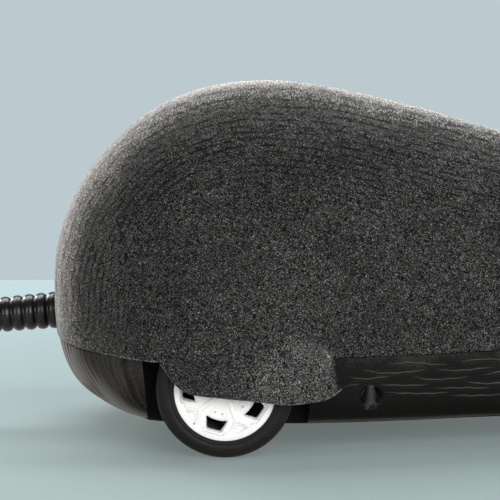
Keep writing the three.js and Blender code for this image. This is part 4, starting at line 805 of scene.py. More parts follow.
def rimDistance(row):
    # How far in from the outline each place of a row lies, seen from the side
    near = np.abs(fineRows["x"] - row[0, 0]) < comb["search"]
    outline = np.column_stack([fineRows["x"][near], fineRows["top"][near]])[::comb["every"]]
    return np.min(np.hypot(row[:, None, 0] - outline[:, 0], row[:, None, 2] - outline[:, 1]), axis=1)


def combing(places):
    # The pile is combed in lines that follow the outline seen from the side and fade out down the flank.
    # The shader is given how many lines lie above each place, and how deep they are there.
    away = np.array([rimDistance(row) for row in places])
    sway = waves(places, shell["seed"], comb["swayLengths"]) * comb["sway"]
    sway = sway + waves(places, shell["seed"] + 1, comb["trembleLengths"]) * comb["tremble"]
    depth = 1 - comb["fade"] * smoothStep(away, *comb["fadeAway"])
    depth = depth * smoothStep(places[..., 2], *comb["fadeDown"])
    return (away + sway) / comb["pitch"] + 0.5, depth


flocked = newPiece("flocked_shell", flockedShell(), "flocked_abs", nodes=["upper_shell"])
flocked.data.set_sharp_from_angle(angle=math.radians(55))
print("flocked shell made")

# Chassis skins: dense walls over the tub, with the moulded hair lines, the foot lip and the side relief
chassis = {
    "inset": 0.22, "wall": 0.26, "lip": 0.7, "lipDepth": 0.16, "lipBlend": 0.1, "seed": 7,
    "wellRear": [(-14.6, -2), (-16.4, 21.3)], "wellFront": [(15.4, -2), (17.6, 21.3)],
    "rearEnd": -13.5, "rearRows": 170, "rearColumns": 200,
    # Rows of the side wall from, to and every so far, closest together at the relief, and those at the nose
    "sideRows": [(14.5, 25.4, 0.5), (25.4, 31.9, 0.16), (32, 150, 0.6)], "noseRows": (150, 40),
    # Its columns by share of its height, fewer under the belly
    "sideColumns": [(0, 0.8, 160), (0.815, 1, 12)],
    "relief": {"x": 28.6, "z": 11.2, "radius": 2.5, "depth": 1.05, "soft": 1.3, "beside": 0.6,
               "ribTop": 0.75, "ribFoot": 1.35, "fade": (0.55, 0.98), "lit": 0.1, "shade": 0.5,
               "shadeGrow": 0.2, "shadeSoft": 0.8},
}
rearComb = {
    "lines": np.array([
        (0, 0), (10.2, 1), (13.3, 2), (15.9, 3), (17.8, 4), (19.4, 5), (20.8, 6), (22, 7), (23.2, 8),
        (24.8, 9), (26.4, 10), (28.2, 11), (30.2, 12), (32.5, 13), (36, 14)]),
    "sway": 0.3, "swayLengths": [19, 10], "depth": 0.2, "finer": 2.3, "finerDepth": 0.05, "sunk": 0.12,
    # painted light: pale and finerPale paint highlights, dark paints shade, base lifts the whole rear wall
    "fade": 0.88, "fadeAway": (17, 27), "pale": 0.85, "dark": 0.1, "base": 0.3, "finerPale": 0.12,
}
hairs = {
    "width": 0.115, "height": 0.09, "cut": 0.04, "cutBelow": 2.2, "cutWidth": 1.3, "most": 0.14,
    "wobble": 0.06, "wobbleRate": 1.9, "traced": 0.85, "crestHighlight": 0.8,
    "loose": 44, "ahead": (52, 150), "byWheel": (20, 60), "lengths": (8, 17), "above": 1.6, "room": 2.6,
    "drop": 0.6, "weights": (0.3, 0.9), "faint": 26, "faintStarts": (17, 62), "faintHeights": (8, 18.2),
    "faintLength": 6, "faintDrop": 0.3, "faintWeights": (0.08, 0.3),
    "grain": 0.012, "grainLengths": [1.6, 0.9], "dustAndPaintedLight": 0.36, "topLightDeep": 7, "topLightLengths": [9],
}
# Hair lines of the side wall near the wheel, each through a few places seen from the side
hairLines = [
    [(26.4, 16.68), (31.7, 15.88), (40.0, 16.13)], [(23.6, 15.46), (27.2, 14.9), (32.8, 15.3)],
    [(31.5, 17.48), (36.0, 17.82), (40.1, 17.31), (45.1, 16.76)],
    [(40.5, 16.3), (45.9, 15.7), (53.3, 16.1)],
    [(36.2, 15.17), (40.6, 14.18), (48.2, 14.3)], [(46.5, 13.63), (50.7, 12.83), (56.9, 12.88)],
    [(29.9, 13.68), (35.0, 13.3), (40.2, 13.2)], [(45.5, 17.44), (50.7, 17.67), (57.1, 17.2)],
    [(31.1, 12.02), (38.5, 11.5), (44.6, 11.39)], [(40.6, 12.4), (46.7, 12.2), (52.7, 11.76)],
    [(43.6, 10.83), (49.0, 10.5), (55.9, 10.39)], [(50.3, 14.39), (53.9, 15.0), (60.0, 15.2)],
    [(22.8, 13.25), (24.6, 13.7), (26.4, 13.9)],
]


def slantPlane(line):
    (lowX, lowZ), (highX, highZ) = line
    point = toFrame([lowX, 0, lowZ])
    return Vector(point), Vector((highZ - lowZ, 0, lowX - highX)).normalized()


def lipRelief(z):
    top = body["belly"] + chassis["lip"]
    return -chassis["lipDepth"] * (1 - smoothStep(z, top - chassis["lipBlend"], top))


def rearHair(places):
    # Combed lines that run down the rear wall and under it, closest together where it turns. The marks are
    # painted light: highlights on the crests and finer lines, shade between them, and a lift of the whole
    # wall
    away = np.abs(places[..., 1])
    sway = waves(places, chassis["seed"], rearComb["swayLengths"]) * rearComb["sway"]
    phase = np.interp(away, *rearComb["lines"].T) + sway
    crest = (0.5 + 0.5 * np.cos(2 * math.pi * phase)) ** 1.6
    finer = (0.5 + 0.5 * np.cos(2 * math.pi * (rearComb["finer"] * phase - sway))) ** 2
    broken = np.clip(0.75 + 0.6 * waves(places * [1, 1, 0.4], chassis["seed"] + 3, [6]), 0.25, 1)
    fade = 1 - rearComb["fade"] * smoothStep(away, *rearComb["fadeAway"])
    relief = (crest * rearComb["depth"] + finer * rearComb["finerDepth"] - rearComb["sunk"]) * broken * fade
    marks = (rearComb["pale"] * crest - rearComb["dark"]) * broken * fade
    return relief, np.clip(marks + rearComb["base"] + rearComb["finerPale"] * finer, 0, 1)


def looseHairs(side):
    # The rest of the side walls' hair lines, in the same hand, and fainter ones among those by the wheel
    random = np.random.default_rng(chassis["seed"] + 10 + side)
    lines = []
    for k in range(hairs["loose"]):
        start = random.uniform(*hairs["ahead"]) if k % 4 or side < 0 else random.uniform(*hairs["byWheel"])
        length = random.uniform(*hairs["lengths"])
        room = partingAt(start) - body["belly"] - hairs["room"]
        height = body["belly"] + hairs["above"] + random.uniform(0.1, 1) * room
        drops = random.uniform(-hairs["drop"], hairs["drop"], 3)
        line = [(start + length * share, height + drop) for share, drop in zip((0, 0.45, 1), drops)]
        lines.append((line, random.uniform(*hairs["weights"])))
    drop = hairs["faintDrop"]
    for _ in range(hairs["faint"]):
        start = random.uniform(*hairs["faintStarts"])
        height = random.uniform(*hairs["faintHeights"])
        line = [(start + hairs["faintLength"] * share, height + random.uniform(-drop, drop))
                for share in (0, 0.5, 1)]
        lines.append((line, random.uniform(*hairs["faintWeights"])))
    return lines


def sideHair(places):
    # Long wavy hair lines along the side wall, each a fine raised thread with a cut below it, thin at its
    # ends. Each thread gets a painted highlight, and the wall gets painted light towards its top
    x, y, z = np.moveaxis(places, 2, 0)
    relief = np.zeros_like(x)
    marks = np.zeros_like(x)
    side = 1 if y.mean() > 0 else -1
    width = hairs["width"]
    most = hairs["most"]
    for line, weight in [*[(line, hairs["traced"]) for line in hairLines], *looseHairs(side)]:
        route = curveThrough(np.array(line), np.linspace(0, 1, 40))
        along = (x - route[0, 0]) / (route[-1, 0] - route[0, 0])
        wobble = hairs["wobble"] * np.sin(x * hairs["wobbleRate"] + route[0, 1] * 7)
        middle = np.interp(x, route[:, 0], route[:, 1]) + wobble
        taper = np.clip(5 * along * (1 - along), 0, 1) ** 0.5 * weight
        thread = np.exp(-((z - middle) / width) ** 2) * taper
        cut = np.exp(-((z - middle + hairs["cutBelow"] * width) / (hairs["cutWidth"] * width)) ** 2) * taper
        relief = relief + np.clip(thread * hairs["height"] - cut * hairs["cut"], -most, most)
        marks = np.maximum(marks, thread)
    grain = waves(places * [0.25, 1, 1], chassis["seed"] + 6, hairs["grainLengths"]) * hairs["grain"]
    # Painted light: paler towards the parting line, where the wall turns up to the light
    paintedTopLight = hairs["dustAndPaintedLight"] * smoothStep(z, partingAt(x) - hairs["topLightDeep"], partingAt(x))
    dustAndPaintedLight = paintedTopLight * (0.75 + 0.25 * waves(places, 3, hairs["topLightLengths"]))
    return np.clip(relief, -most, most) + grain, np.maximum(hairs["crestHighlight"] * marks, dustAndPaintedLight)


def reliefPlace(places):
    # Where each place lies by the side relief: ahead of its middle, away from it and down it, with half the
    # rib's width there
    spot = chassis["relief"]
    x, _, z = np.moveaxis(places, 2, 0)
    away = np.hypot(x - spot["x"], z - spot["z"])
    down = np.clip((spot["z"] + spot["radius"] - z) / (2 * spot["radius"]), 0, 1)
    half = spot["ribTop"] + (spot["ribFoot"] - spot["ribTop"]) * down
    return x - spot["x"], away, down, half


def sideRelief(places, relief):
    # A round hollow with a tapered half-round rib standing in it
    spot = chassis["relief"]
    ahead, away, down, half = reliefPlace(places)
    hollow = smoothStep(spot["radius"] - away, 0, spot["soft"])
    rib = np.sqrt(np.clip(1 - (ahead / half) ** 2, 0, 1))
    depth = -spot["depth"] * hollow * (1 - rib) * (1 - smoothStep(down, *spot["fade"]))
    return np.where(away < spot["radius"] + spot["beside"], depth + relief * (1 - hollow), relief)


def sideShade(places, marks):
    # Painted light: the rib's round gets a painted highlight, shifted towards the light, and the hollow
    # round it gets painted shade, with the wall's other marks left out of it
    spot = chassis["relief"]
    ahead, away, down, half = reliefPlace(places)
    shade = spot["shade"]
    rib = np.clip(1 - ((ahead + spot["lit"]) / half) ** 2, 0, 1) * (down > 0.02) * (down < 1)
    hollow = smoothStep(spot["radius"] + spot["shadeGrow"] - away, 0, spot["shadeSoft"])
    return marks * (1 - hollow) - shade * (rib == 0) * (down < 0.9) * hollow + shade * np.sqrt(rib)


def chassisSkin(shares, columns, hair, plane, clearOuter, side):
    # One wall with its relief, cut off at the wheel well. Its rows never quite close, so each keeps its
    # columns.
    halves = []
    for share in shares:
        row = rowAt(share)
        high = float(partingAt(row["x"]) - body["partingGap"] / 2)
        low = max(body["belly"], float(row["bottom"]) + 0.0005)
        halves.append(halfSection(share, max(high, low + 0.002), low, columns, chassis["inset"],
                                  dressed=False))
    places = np.array(halves) * np.array([1, side, 1])
    bm = bmesh.new()
    normals = normalsOf(places)
    normals = normals * np.where(normals[..., 1:2] * side < 0, -1, 1)
    relief, marks = hair(places)
    relief = relief + lipRelief(places[..., 2])
    if hair is sideHair:
        relief = sideRelief(places, relief)
        marks = sideShade(places, marks)
    relief[0] = relief[-1] = 0
    relief[:, -1] = np.where(places[:, -1, 1] * side < 0.05, 0, relief[:, -1])
    gridOf(bm, toFrame(places + normals * relief[..., None]), mark=marks)
    mergeDoubles(bm)
    point, normal = plane
    bmesh.ops.bisect_plane(bm, geom=[*bm.verts, *bm.edges, *bm.faces], plane_co=point, plane_no=normal,
                           clear_outer=clearOuter, clear_inner=not clearOuter)
    faceOut(bm)
    return bm


def solidSkin(name, bm):
    centre = sum((face.calc_center_median() for face in bm.faces), Vector()) / len(bm.faces)
    facing = sum((face.calc_center_median() - centre).dot(face.normal) for face in bm.faces)
    if facing < 0:
        bmesh.ops.reverse_faces(bm, faces=bm.faces)
    piece = newPiece(name, bm, "black_abs")
    modifier = piece.modifiers.new("wall", "SOLIDIFY")
    modifier.thickness = chassis["wall"] * mm
    modifier.offset = -1


def rearSkin(side):
    level = body["parting"] - body["partingGap"] / 2
    start = fineShares[np.nonzero(fineRows["bottom"] < level)[0][0]]
    shares = sharesAlong(fineRows["bottom"], start, shareAtX(chassis["rearEnd"]), chassis["rearRows"])
    columns = np.linspace(0, 1, chassis["rearColumns"])
    return chassisSkin(shares, columns, rearHair, slantPlane(chassis["wellRear"]), True, side)


def frontSkin(side):
    below = np.nonzero(fineRows["bottom"] < partingAt(fineRows["x"]) - body["partingGap"] / 2)[0][-1]
    noseStart, noseCount = chassis["noseRows"]
    noseRows = np.linspace(noseStart, fineRows["x"][below], noseCount)
    x = np.concatenate([*[np.arange(*rows) for rows in chassis["sideRows"]], noseRows])
    columns = np.concatenate([np.linspace(*span) for span in chassis["sideColumns"]])
    return chassisSkin(shareAtX(x), columns, sideHair, slantPlane(chassis["wellFront"]), False, side)


for name, side in sides.items():
    solidSkin(f"chassis_rear_wall_{name}", rearSkin(side))
    solidSkin(f"chassis_side_wall_{name}", frontSkin(side))
print("chassis walls made")

# Wheels, made lying down with Z outboard, then stood up on each side
wheel = {
    "width": 8.5, "inner": 29, "faceLow": 5.6, "faceHigh": 7.5, "rimHigh": 8.0, "rimRadius": 10,
    "band": 1.15, "barrel": 2.0, "hub": 2.6, "bore": 1.1, "cap": 1.75, "valve": (8.85, 227, 0.2),
    "tyreRadius": 13.5, "shoulder": 2.4,
    "windowPhase": 38.2, "windowCount": 5, "windowInner": 6.1, "windowOuter": 8.6, "innerHalf": 21.2,
    "outerHalf": 10.5, "corner": 0.42, "lugRadius": 4.66, "lugHalf": 9, "lugHole": 0.22, "lugMiddle": 4.8,
    "holeDepth": 0.45, "ridgeSunk": 0.15, "barTaper": 0.8, "pocketMiddle": 8.15, "pocketCorner": 0.25,
}
# One spoke's ridges, each from and to a radius and a turn from the spoke's line, with its half width
spokeBars = [((1.6, 0), (6.6, 0), 0.62), ((6.3, 0), (8.75, 15), 0.4), ((6.3, 0), (8.75, -15), 0.4)]
# Outlines as radius and turn
lugOutline = [(5.95, -11.5), (5.2, -15), (4.3, -15), (3.75, -8), (3.65, 0), (3.75, 8), (4.3, 15),
              (5.2, 15), (5.95, 11.5)]
pocketOutline = [(7.2, 0), (8.55, 10.5), (8.7, 0), (8.55, -10.5)]
# Layers as share, or growth for the windows, and height over the face
barLayers = [(1, 0), (0.72, 0.36), (0.2, 0.48)]
lugLayers = [(1, 0), (0.98, 0.2), (0.9, 0.28)]
pocketLayers = [(1.12, 0.6), (1.0, 0.02), (0.72, -0.5)]
windowLayers = [(0.75, 1.2), (0.32, 0.0), (0.12, -0.1), (-0.05, -0.35), (-0.32, -3)]


def polar(radius, degrees, height=0.0):
    turn = math.radians(degrees)
    return (radius * math.cos(turn), radius * math.sin(turn), height)


def roundedOutline(corners, radii, steps=4):
    # Each corner gives way to a short curve between two points set back along its edges; one with no radius
    # stays
    line = []
    total = len(corners)
    for k in range(total):
        before, corner, after = (Vector(corners[(k + step) % total]) for step in (-1, 0, 1))
        if not radii[k]:
            line.append(corner)
            continue
        back = corner + (before - corner).normalized() * radii[k]
        on = corner + (after - corner).normalized() * radii[k]
        for step in range(steps + 1):
            share = step / steps
            line.append(back.lerp(corner, share).lerp(corner.lerp(on, share), share))
    return line


def windowOutline(grow):
    inner = wheel["windowInner"] - grow
    outer = wheel["windowOuter"] + grow
    innerHalf = wheel["innerHalf"] + math.degrees(grow / inner)
    outerHalf = wheel["outerHalf"] + math.degrees(grow / outer)
    arc = [polar(inner, innerHalf * share) for share in (0.45, 0, -0.45)]
    corners = [polar(inner, -innerHalf), polar(outer, -outerHalf), polar(outer, outerHalf),
               polar(inner, innerHalf)]
    return roundedOutline([*corners, *arc], [wheel["corner"]] * 4 + [0] * 3)


def lifted(point, height):
    return point + Vector((0, 0, height))


def turnedRing(ring, degrees, height):
    turn = Matrix.Rotation(math.radians(degrees), 3, "Z")
    return [lifted(turn @ Vector((point[0], point[1], 0)), height) for point in ring]


def steppedRings(ring, middle, layers, face):
    # The ring drawn in about its middle by each layer's share, at the layer's height over the face
    return [[lifted(middle + (point - middle) * share, face + height) for point in ring]
            for share, height in layers]


def windowTurn(k):
    return wheel["windowPhase"] + 360 / wheel["windowCount"] * k


def windowCutter():
    bm = bmesh.new()
    for k in range(wheel["windowCount"]):
        addPrism(bm, [turnedRing(windowOutline(grow), windowTurn(k), wheel["faceHigh"] + height)
                      for grow, height in windowLayers])
    return scratch("window cutter", bm)


def rimShape():
    face = wheel["faceHigh"]
    high = wheel["rimHigh"]
    radius = wheel["rimRadius"]
    band = wheel["band"]
    profile = [
        (wheel["bore"], 0), (wheel["hub"], 0), (wheel["hub"], wheel["faceLow"]),
        (radius - band, wheel["faceLow"]), (radius - wheel["barrel"], 0), (radius, 0),
        *arcPoints((radius - 0.25, high - 0.25), 0.25, 0, 90, 4),
        *arcPoints((radius - band - 0.1, high - 0.3), 0.3, 90, 160, 4),
        (radius - band - 0.75, face + 0.02), (radius - band - 1.1, face),
        (wheel["cap"] + 0.25, face), (wheel["cap"], face + 0.1),
        *arcPoints((wheel["cap"] - 0.25, face + 0.28), 0.25, 0, 90, 4),
        (0, face + 0.6), (0, wheel["faceLow"]), (wheel["bore"], wheel["faceLow"]),
    ]
    return spunShape(profile, 120)


def spokeShapes():
    # Raised ridges: one along each spoke that splits in two round the pocket at the rim, and a U about the
    # lugs
    bm = bmesh.new()
    face = wheel["faceHigh"] - wheel["ridgeSunk"]
    for k in range(wheel["windowCount"]):
        spoke = windowTurn(k + 0.5)
        window = windowTurn(k)
        for (startRadius, startTurn), (endRadius, endTurn), width in spokeBars:
            start = Vector(polar(startRadius, spoke + startTurn))
            end = Vector(polar(endRadius, spoke + endTurn))
            across = (end - start).normalized().cross(up) * width
            rings = []
            for share, height in barLayers:
                side = across * share
                taper = side * wheel["barTaper"]
                corners = (start - side, start + side, end + taper, end - taper)
                rings.append([lifted(point, face + height) for point in corners])
            addPrism(bm, rings)
        outline = [Vector(polar(radius, window + turn)) for radius, turn in lugOutline]
        middle = Vector(polar(wheel["lugMiddle"], window))
        addPrism(bm, steppedRings(outline, middle, lugLayers, face))
    return scratch("spoke ridges", bm)


def rimCutters():
    # Lug holes, the valve hole and the pockets between the spoke's arms
    bm = bmesh.new()
    face = wheel["faceHigh"]
    holes = []
    for k in range(wheel["windowCount"]):
        window = windowTurn(k)
        holes += [(wheel["lugRadius"], window + side * wheel["lugHalf"], wheel["lugHole"])
                  for side in (-1, 1)]
        spoke = window + 180 / wheel["windowCount"]
        corners = [polar(radius, spoke + turn) for radius, turn in pocketOutline]
        ring = roundedOutline(corners, [wheel["pocketCorner"]] * 4, 3)
        middle = Vector(polar(wheel["pocketMiddle"], spoke))
        addPrism(bm, steppedRings(ring, middle, pocketLayers, face))
    for radius, turn, hole in [*holes, wheel["valve"]]:
        centre = Vector(polar(radius, turn))
        addPrism(bm, [[centre + Vector(polar(hole, step * 30, height)) for step in range(12)]
                      for height in (face + 1, face - wheel["holeDepth"])])
    return scratch("rim cutters", bm)


def tyreShape():
    outer = wheel["tyreRadius"]
    radius = wheel["shoulder"]
    width = wheel["width"]
    inner = wheel["rimRadius"] + 0.04
    profile = [
        (inner, 0.35), (inner + 0.35, 0.05), *arcPoints((outer - radius, radius), radius, -90, -8, 12),
        *arcPoints((outer - radius, width - radius), radius, 8, 84, 14),
        (inner + 0.95, width - 0.06), (inner + 0.8, width - 0.2), (inner + 0.66, width - 0.2),
        (inner + 0.5, width - 0.05), (inner + 0.22, width - 0.08), (inner, width - 0.35),
    ]
    return spunShape(profile, 144)


def standUp(piece, side):
    # Outboard becomes the side's own way along Y, with the wheel's inner face at its place
    centre = middleOf("rim_right" if side < 0 else "rim_left")
    turn = Matrix(((-side, 0, 0), (0, 0, side), (0, 1, 0))).to_4x4()
    inner = wheel["inner"] * mm * side
    piece.data.transform(Matrix.Translation((centre.x, inner, centre.z)) @ turn)


def makeWheels():
    rim = scratch("rim", rimShape())
    combine(rim, spokeShapes(), "UNION")
    combine(rim, rimCutters(), "DIFFERENCE")
    combine(rim, windowCutter(), "DIFFERENCE")
    for name, side in sides.items():
        bm = bmesh.new()
        bm.from_mesh(rim.data)
        mergeDoubles(bm, 0.002)
        rimPiece = newPiece(f"rim_shaped_{name}", bm, "white_abs", f"wheel_{name}", [f"rim_{name}"])
        standUp(rimPiece, side)
        rimPiece.data.set_sharp_from_angle(angle=math.radians(32))
        tyrePiece = newPiece(f"tyre_shaped_{name}", tyreShape(), "tyre_rubber", f"wheel_{name}",
                             [f"tyre_{name}"])
        standUp(tyrePiece, side)
    bpy.data.objects.remove(rim)


makeWheels()
print("wheels made")

# Tail: rounded ribs strung along its route, thinning to the tip
tail = {
    "root": 3.0, "rib": 3.7, "tip": 1.3, "pitch": 2.41, "crest": 0.55, "slope": 0.096, "exit": 23.1,
    "seat": 4.0, "clear": 0.3, "straight": 14, "reach": 150, "low": 4.8, "tipHeight": 6.4, "sides": 40,
    "ringsPerRib": 10, "capTurns": (30, 60, 80, 90),
    "sagShares": [(0.32, 0.38), (0.55, 0.82), (0.78, 1)],  # of the reach and of the drop to the low height
}


def tailRoute():
    rear = body["rear"]
    height = tail["exit"]
    points = [
        (rear + tail["seat"], height + tail["slope"] * tail["seat"]),
        (rear - tail["straight"], height - tail["slope"] * tail["straight"]),
        *[(rear - tail["reach"] * reach, height + (tail["low"] - height) * drop)
          for reach, drop in tail["sagShares"]],
        (rear - tail["reach"], tail["tipHeight"]),
    ]
    return centripetal(np.array(points), 400)


def centripetal(points, count):
    # The smooth line through a few points with knots spaced by the root of their distance
    longer = np.vstack([2 * points[0] - points[1], points, 2 * points[-1] - points[-2]])
    line = []
    for k in range(len(points) - 1):
        before, start, end, after = longer[k:k + 4]
        gapIn, gap, gapOut = (np.linalg.norm(longer[k + j + 1] - longer[k + j]) ** 0.5 for j in range(3))
        slopeIn = ((start - before) / gapIn - (end - before) / (gapIn + gap) + (end - start) / gap) * gap
        slopeOut = ((end - start) / gap - (after - start) / (gap + gapOut) + (after - end) / gapOut) * gap
        for share in np.arange(0, 1, 1 / count):
            line.append(bentBetween(start, end, slopeIn, slopeOut, share))
    line.append(points[-1])
    return np.array(line)


def tailShape():
    route = tailRoute()
    steps = np.r_[0, np.cumsum(np.hypot(*np.diff(route, axis=0).T))]
    length = steps[-1]
    neck = tail["seat"] + tail["clear"] - tail["pitch"] / 2
    ribs = int((length - neck) // tail["pitch"])
    endCap = length - tail["tip"] * 0.9
    at = [0.0, neck * 0.5]
    radii = [tail["root"], tail["root"]]
    for k in range(ribs):
        taper = 1 + (tail["tip"] / tail["rib"] - 1) * k / ribs
        for step in range(tail["ringsPerRib"]):
            share = step / tail["ringsPerRib"]
            crest = abs(math.sin(math.pi * share)) ** tail["crest"]
            at.append(neck + (k + share) * tail["pitch"])
            radii.append((tail["root"] + (tail["rib"] - tail["root"]) * crest) * taper)
    at.append(endCap)
    radii.append(tail["tip"])
    for turn in tail["capTurns"]:
        at.append(endCap + (length - endCap) * math.sin(math.radians(turn)))
        radii.append(tail["tip"] * math.cos(math.radians(turn)) + 1e-4)

    def routeAt(shift):
        return np.column_stack([np.interp(np.array(at) + shift, steps, route[:, k]) for k in (0, 1)])

    centres = routeAt(0)
    tangent = routeAt(0.5) - routeAt(-0.5)
    tangent /= np.linalg.norm(tangent, axis=1, keepdims=True)
    turn = np.linspace(0, 2 * math.pi, tail["sides"] + 1)
    radii = np.array(radii)[:, None]
    rise = radii * np.sin(turn)
    places = np.stack([centres[:, :1] - tangent[:, 1:] * rise, radii * np.cos(turn),
                       centres[:, 1:] + tangent[:, :1] * rise], axis=2)
    bm = bmesh.new()
    gridOf(bm, toFrame(places))
    mergeDoubles(bm, 0.002)
    bmesh.ops.holes_fill(bm, edges=[edge for edge in bm.edges if edge.is_boundary], sides=0)
    faceOut(bm)
    return bm


newPiece("ribbed_tail", tailShape(), "tail_rubber", nodes=["tail"])
print("tail made")

# Head: ears, eyes, nose and whiskers, each where its solid is
head = {
    "earRadius": 8.6, "earDepth": 2.6, "earSheet": 1.3, "earRoll": 0.66, "earStand": 5.4,
    "earAt": (0.672, 0.3), "earFacing": 0.55, "earLift": 0.15, "eye": 3, "nose": 3.4, "padAt": (0.86, 0.12),
    "whisker": 30, "whiskerRadius": 0.28, "whiskerSteps": 14, "droop": (-1.2, 0, -0.8), "pad": 2.4,
    "padThickness": 1.6,
    "leans": [(-0.5, 0.5), (-0.25, 0.15), (-0.45, -0.2), (-0.1, 0.4), (-0.15, -0.35), (-0.7, 0.1)],
}


def skinFrame(along, angleShare, side):
    # A place on the bare skin and the way out of it there
    def pointAt(share, angle):
        section = rowAt(share)
        upper = math.sin(angle) >= 0
        power = 2 / (body["upperPower"] if upper else float(section["lowerPower"]))
        across = math.copysign(abs(math.cos(angle)) ** power, math.cos(angle))
        rise = math.copysign(abs(math.sin(angle)) ** power, math.sin(angle))
        reach = section["top"] - section["middle"] if upper else section["middle"] - section["bottom"]
        return Vector((float(section["x"]), across * float(section["halfWidth"]),
                       float(section["middle"]) + rise * float(reach)))

    angle = math.pi * (angleShare if side > 0 else 1 - angleShare)
    at = pointAt(along, angle)
    normal = (pointAt(along + 0.001, angle) - at).cross(pointAt(along, angle + 0.001) - at).normalized()
    if normal.y * side < 0:
        normal.negate()
    return at, normal


def placed(piece, at, direction):
    turn = up.rotation_difference(direction.normalized()).to_matrix().to_4x4()
    piece.data.transform(Matrix.Translation(Vector(toFrame(at))) @ turn)


def earShape():
    # A dished leaf of soft PVC with a rolled rim and a thicker foot
    radius = head["earRadius"]
    bowl = [(radius * share, head["earDepth"] * share ** 2) for share in np.linspace(0.0, 0.94, 14)]
    rim = arcPoints((radius - 0.62, head["earDepth"] * 0.9 - 0.1), head["earRoll"], 75, -105, 8)
    back = [(radius * share, head["earDepth"] * share ** 2 - head["earSheet"])
            for share in np.linspace(0.9, 0.0, 14)]
    return spunShape([*bowl, *rim, *back], 72)


def makeHead():
    for name, side in sides.items():
        at, normal = skinFrame(*head["earAt"], side)
        facing = Vector((1, side * head["earFacing"], head["earLift"])).normalized()
        ear = newPiece(f"ear_shaped_{name}", earShape(), "ear_pvc", nodes=[f"ear_{name}"])
        placed(ear, at + normal * head["earStand"], facing)
        eye = newPiece(f"eye_bead_{name}", beadShape(head["eye"]), "bead_black", nodes=[f"eye_{name}"])
        eye.data.transform(Matrix.Translation(middleOf(f"eye_{name}")))
        newPiece(f"whisker_spray_{name}", whiskerShape(side), "nylon", nodes=[f"whiskers_{name}"])
    nose = newPiece("nose_bead", beadShape(head["nose"]), "bead_black", nodes=["nose"])
    nose.data.transform(Matrix.Translation(middleOf("nose")))


def beadShape(radius):
    bm = bmesh.new()
    bmesh.ops.create_uvsphere(bm, u_segments=48, v_segments=32, radius=radius * mm)
    return bm


def whiskerShape(side):
    # A small pad with six drawn bristles that bow back and thin out to a point
    at, normal = skinFrame(*head["padAt"], side)
    bm = spunShape([(0, -head["padThickness"]), (head["pad"], -head["padThickness"]), (head["pad"], -0.3),
                    *arcPoints((head["pad"] - 0.5, -0.3), 0.5, 0, 80, 5), (0, 0.35)], 40)
    turn = up.rotation_difference(normal).to_matrix().to_4x4()
    bmesh.ops.transform(bm, matrix=Matrix.Translation(Vector(toFrame(at))) @ turn, verts=bm.verts)
    for k, (back, rise) in enumerate(head["leans"]):
        direction = Vector((back, side, rise)).normalized()
        angle = 2 * math.pi * k / len(head["leans"])
        root = at + Vector((math.cos(angle), 0, math.sin(angle))) * head["pad"] / 2
        across = direction.cross(up).normalized()
        over = across.cross(direction)
        rows = []
        for step in range(head["whiskerSteps"] + 1):
            share = step / head["whiskerSteps"]
            reach = head["whisker"] * share * 0.96
            centre = root + direction * reach + Vector(head["droop"]) * share ** 2
            radius = head["whiskerRadius"] * (1 - 0.8 * share)
            rows.append([centre + (across * math.cos(turn) + over * math.sin(turn)) * radius
                         for turn in np.linspace(0, 2 * math.pi, 9)])
        gridOf(bm, toFrame(np.array(rows)))
    mergeDoubles(bm, 0.001)
    bmesh.ops.holes_fill(bm, edges=[edge for edge in bm.edges if edge.is_boundary], sides=0)
    faceOut(bm)
    return bm


makeHead()
print("head made")

# Every CAD node takes its slot's finish, with its corners rounded as moulded and turned parts are
nodeFinish = {
    "chassis_tub": "tub_abs", "battery_door": "door_abs", "upper_shell": "flocked_abs",
    "tail": "tail_rubber", "nose": "bead_black", "circuit_board": "laminate", "control_chip": "epoxy",
    "caster_fork": "inner_abs", "caster_wheel": "acetal", "caster_pin": "steel", "switch_body": "inner_abs",
    "switch_slider": "acetal", "battery_door_screw": "steel",
}
finishByStart = {
    "rim": "white_abs", "tyre": "tyre_rubber", "axle_bush": "acetal", "axle": "steel",
    "final_gear": "acetal", "compound_gear": "acetal", "gear_pin": "steel", "motor_pinion": "brass",
    "motor_shaft": "steel", "motor": "steel", "gearbox_bracket": "inner_abs", "ear": "ear_pvc",
    "eye": "bead_black", "whiskers": "nylon", "shell_screw": "steel", "battery_": "cell_sleeve",
    "contact": "steel",
}
nodeEdges = {"weld": 0.002, "round": 0.12}


def finishOf(name):
    if name in nodeFinish:
        return nodeFinish[name]
    return next(finish for start, finish in finishByStart.items() if name.startswith(start))


for name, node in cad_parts.items():
    node.data.materials.clear()
    node.data.materials.append(finishes[finishOf(name)])
    if node.hide_render:
        continue
    weld = node.modifiers.new("weld", "WELD")
    weld.merge_threshold = nodeEdges["weld"] * mm
    bevelled(node, nodeEdges["round"])
print("nodes finished")

# Floor, light and camera
studio = {
    "floorBack": 0.177, "floorReach": 1.6, "sky": "#bccacf", "ambient": "#f4f4f2", "fill": 0.18,
    "camera": (8.530, -888.920, 176.180), "tilt": 81, "lens": 321.14, "sensor": 36, "clip": (0.01, 20),
    "lights": {
        "top softbox": {"place": (-0.1, 0.45, 0.75), "target": (0, 0, 0.03), "size": (0.9, 0.5),
                        "power": 9.5},
        "front softbox": {"place": (0.4, -0.85, 0.4), "target": (0, 0, 0.03), "size": (0.8, 0.6),
                          "power": 9.5},
        "side strip": {"place": (-0.5, -0.6, 0.25), "target": (-0.03, 0, 0.03), "size": (0.05, 0.35),
                       "power": 1.6},
        "back strip": {"place": (-0.6, 0.8, 0.3), "target": (-0.02, 0, 0.04), "size": (0.2, 0.5),
                       "power": 9, "colour": "#fffaf4"},
        "nose strip": {"place": (0.8, 0.1, 0.4), "target": (0.02, 0, 0.03), "size": (0.2, 0.5), "power": 4},
    },
}


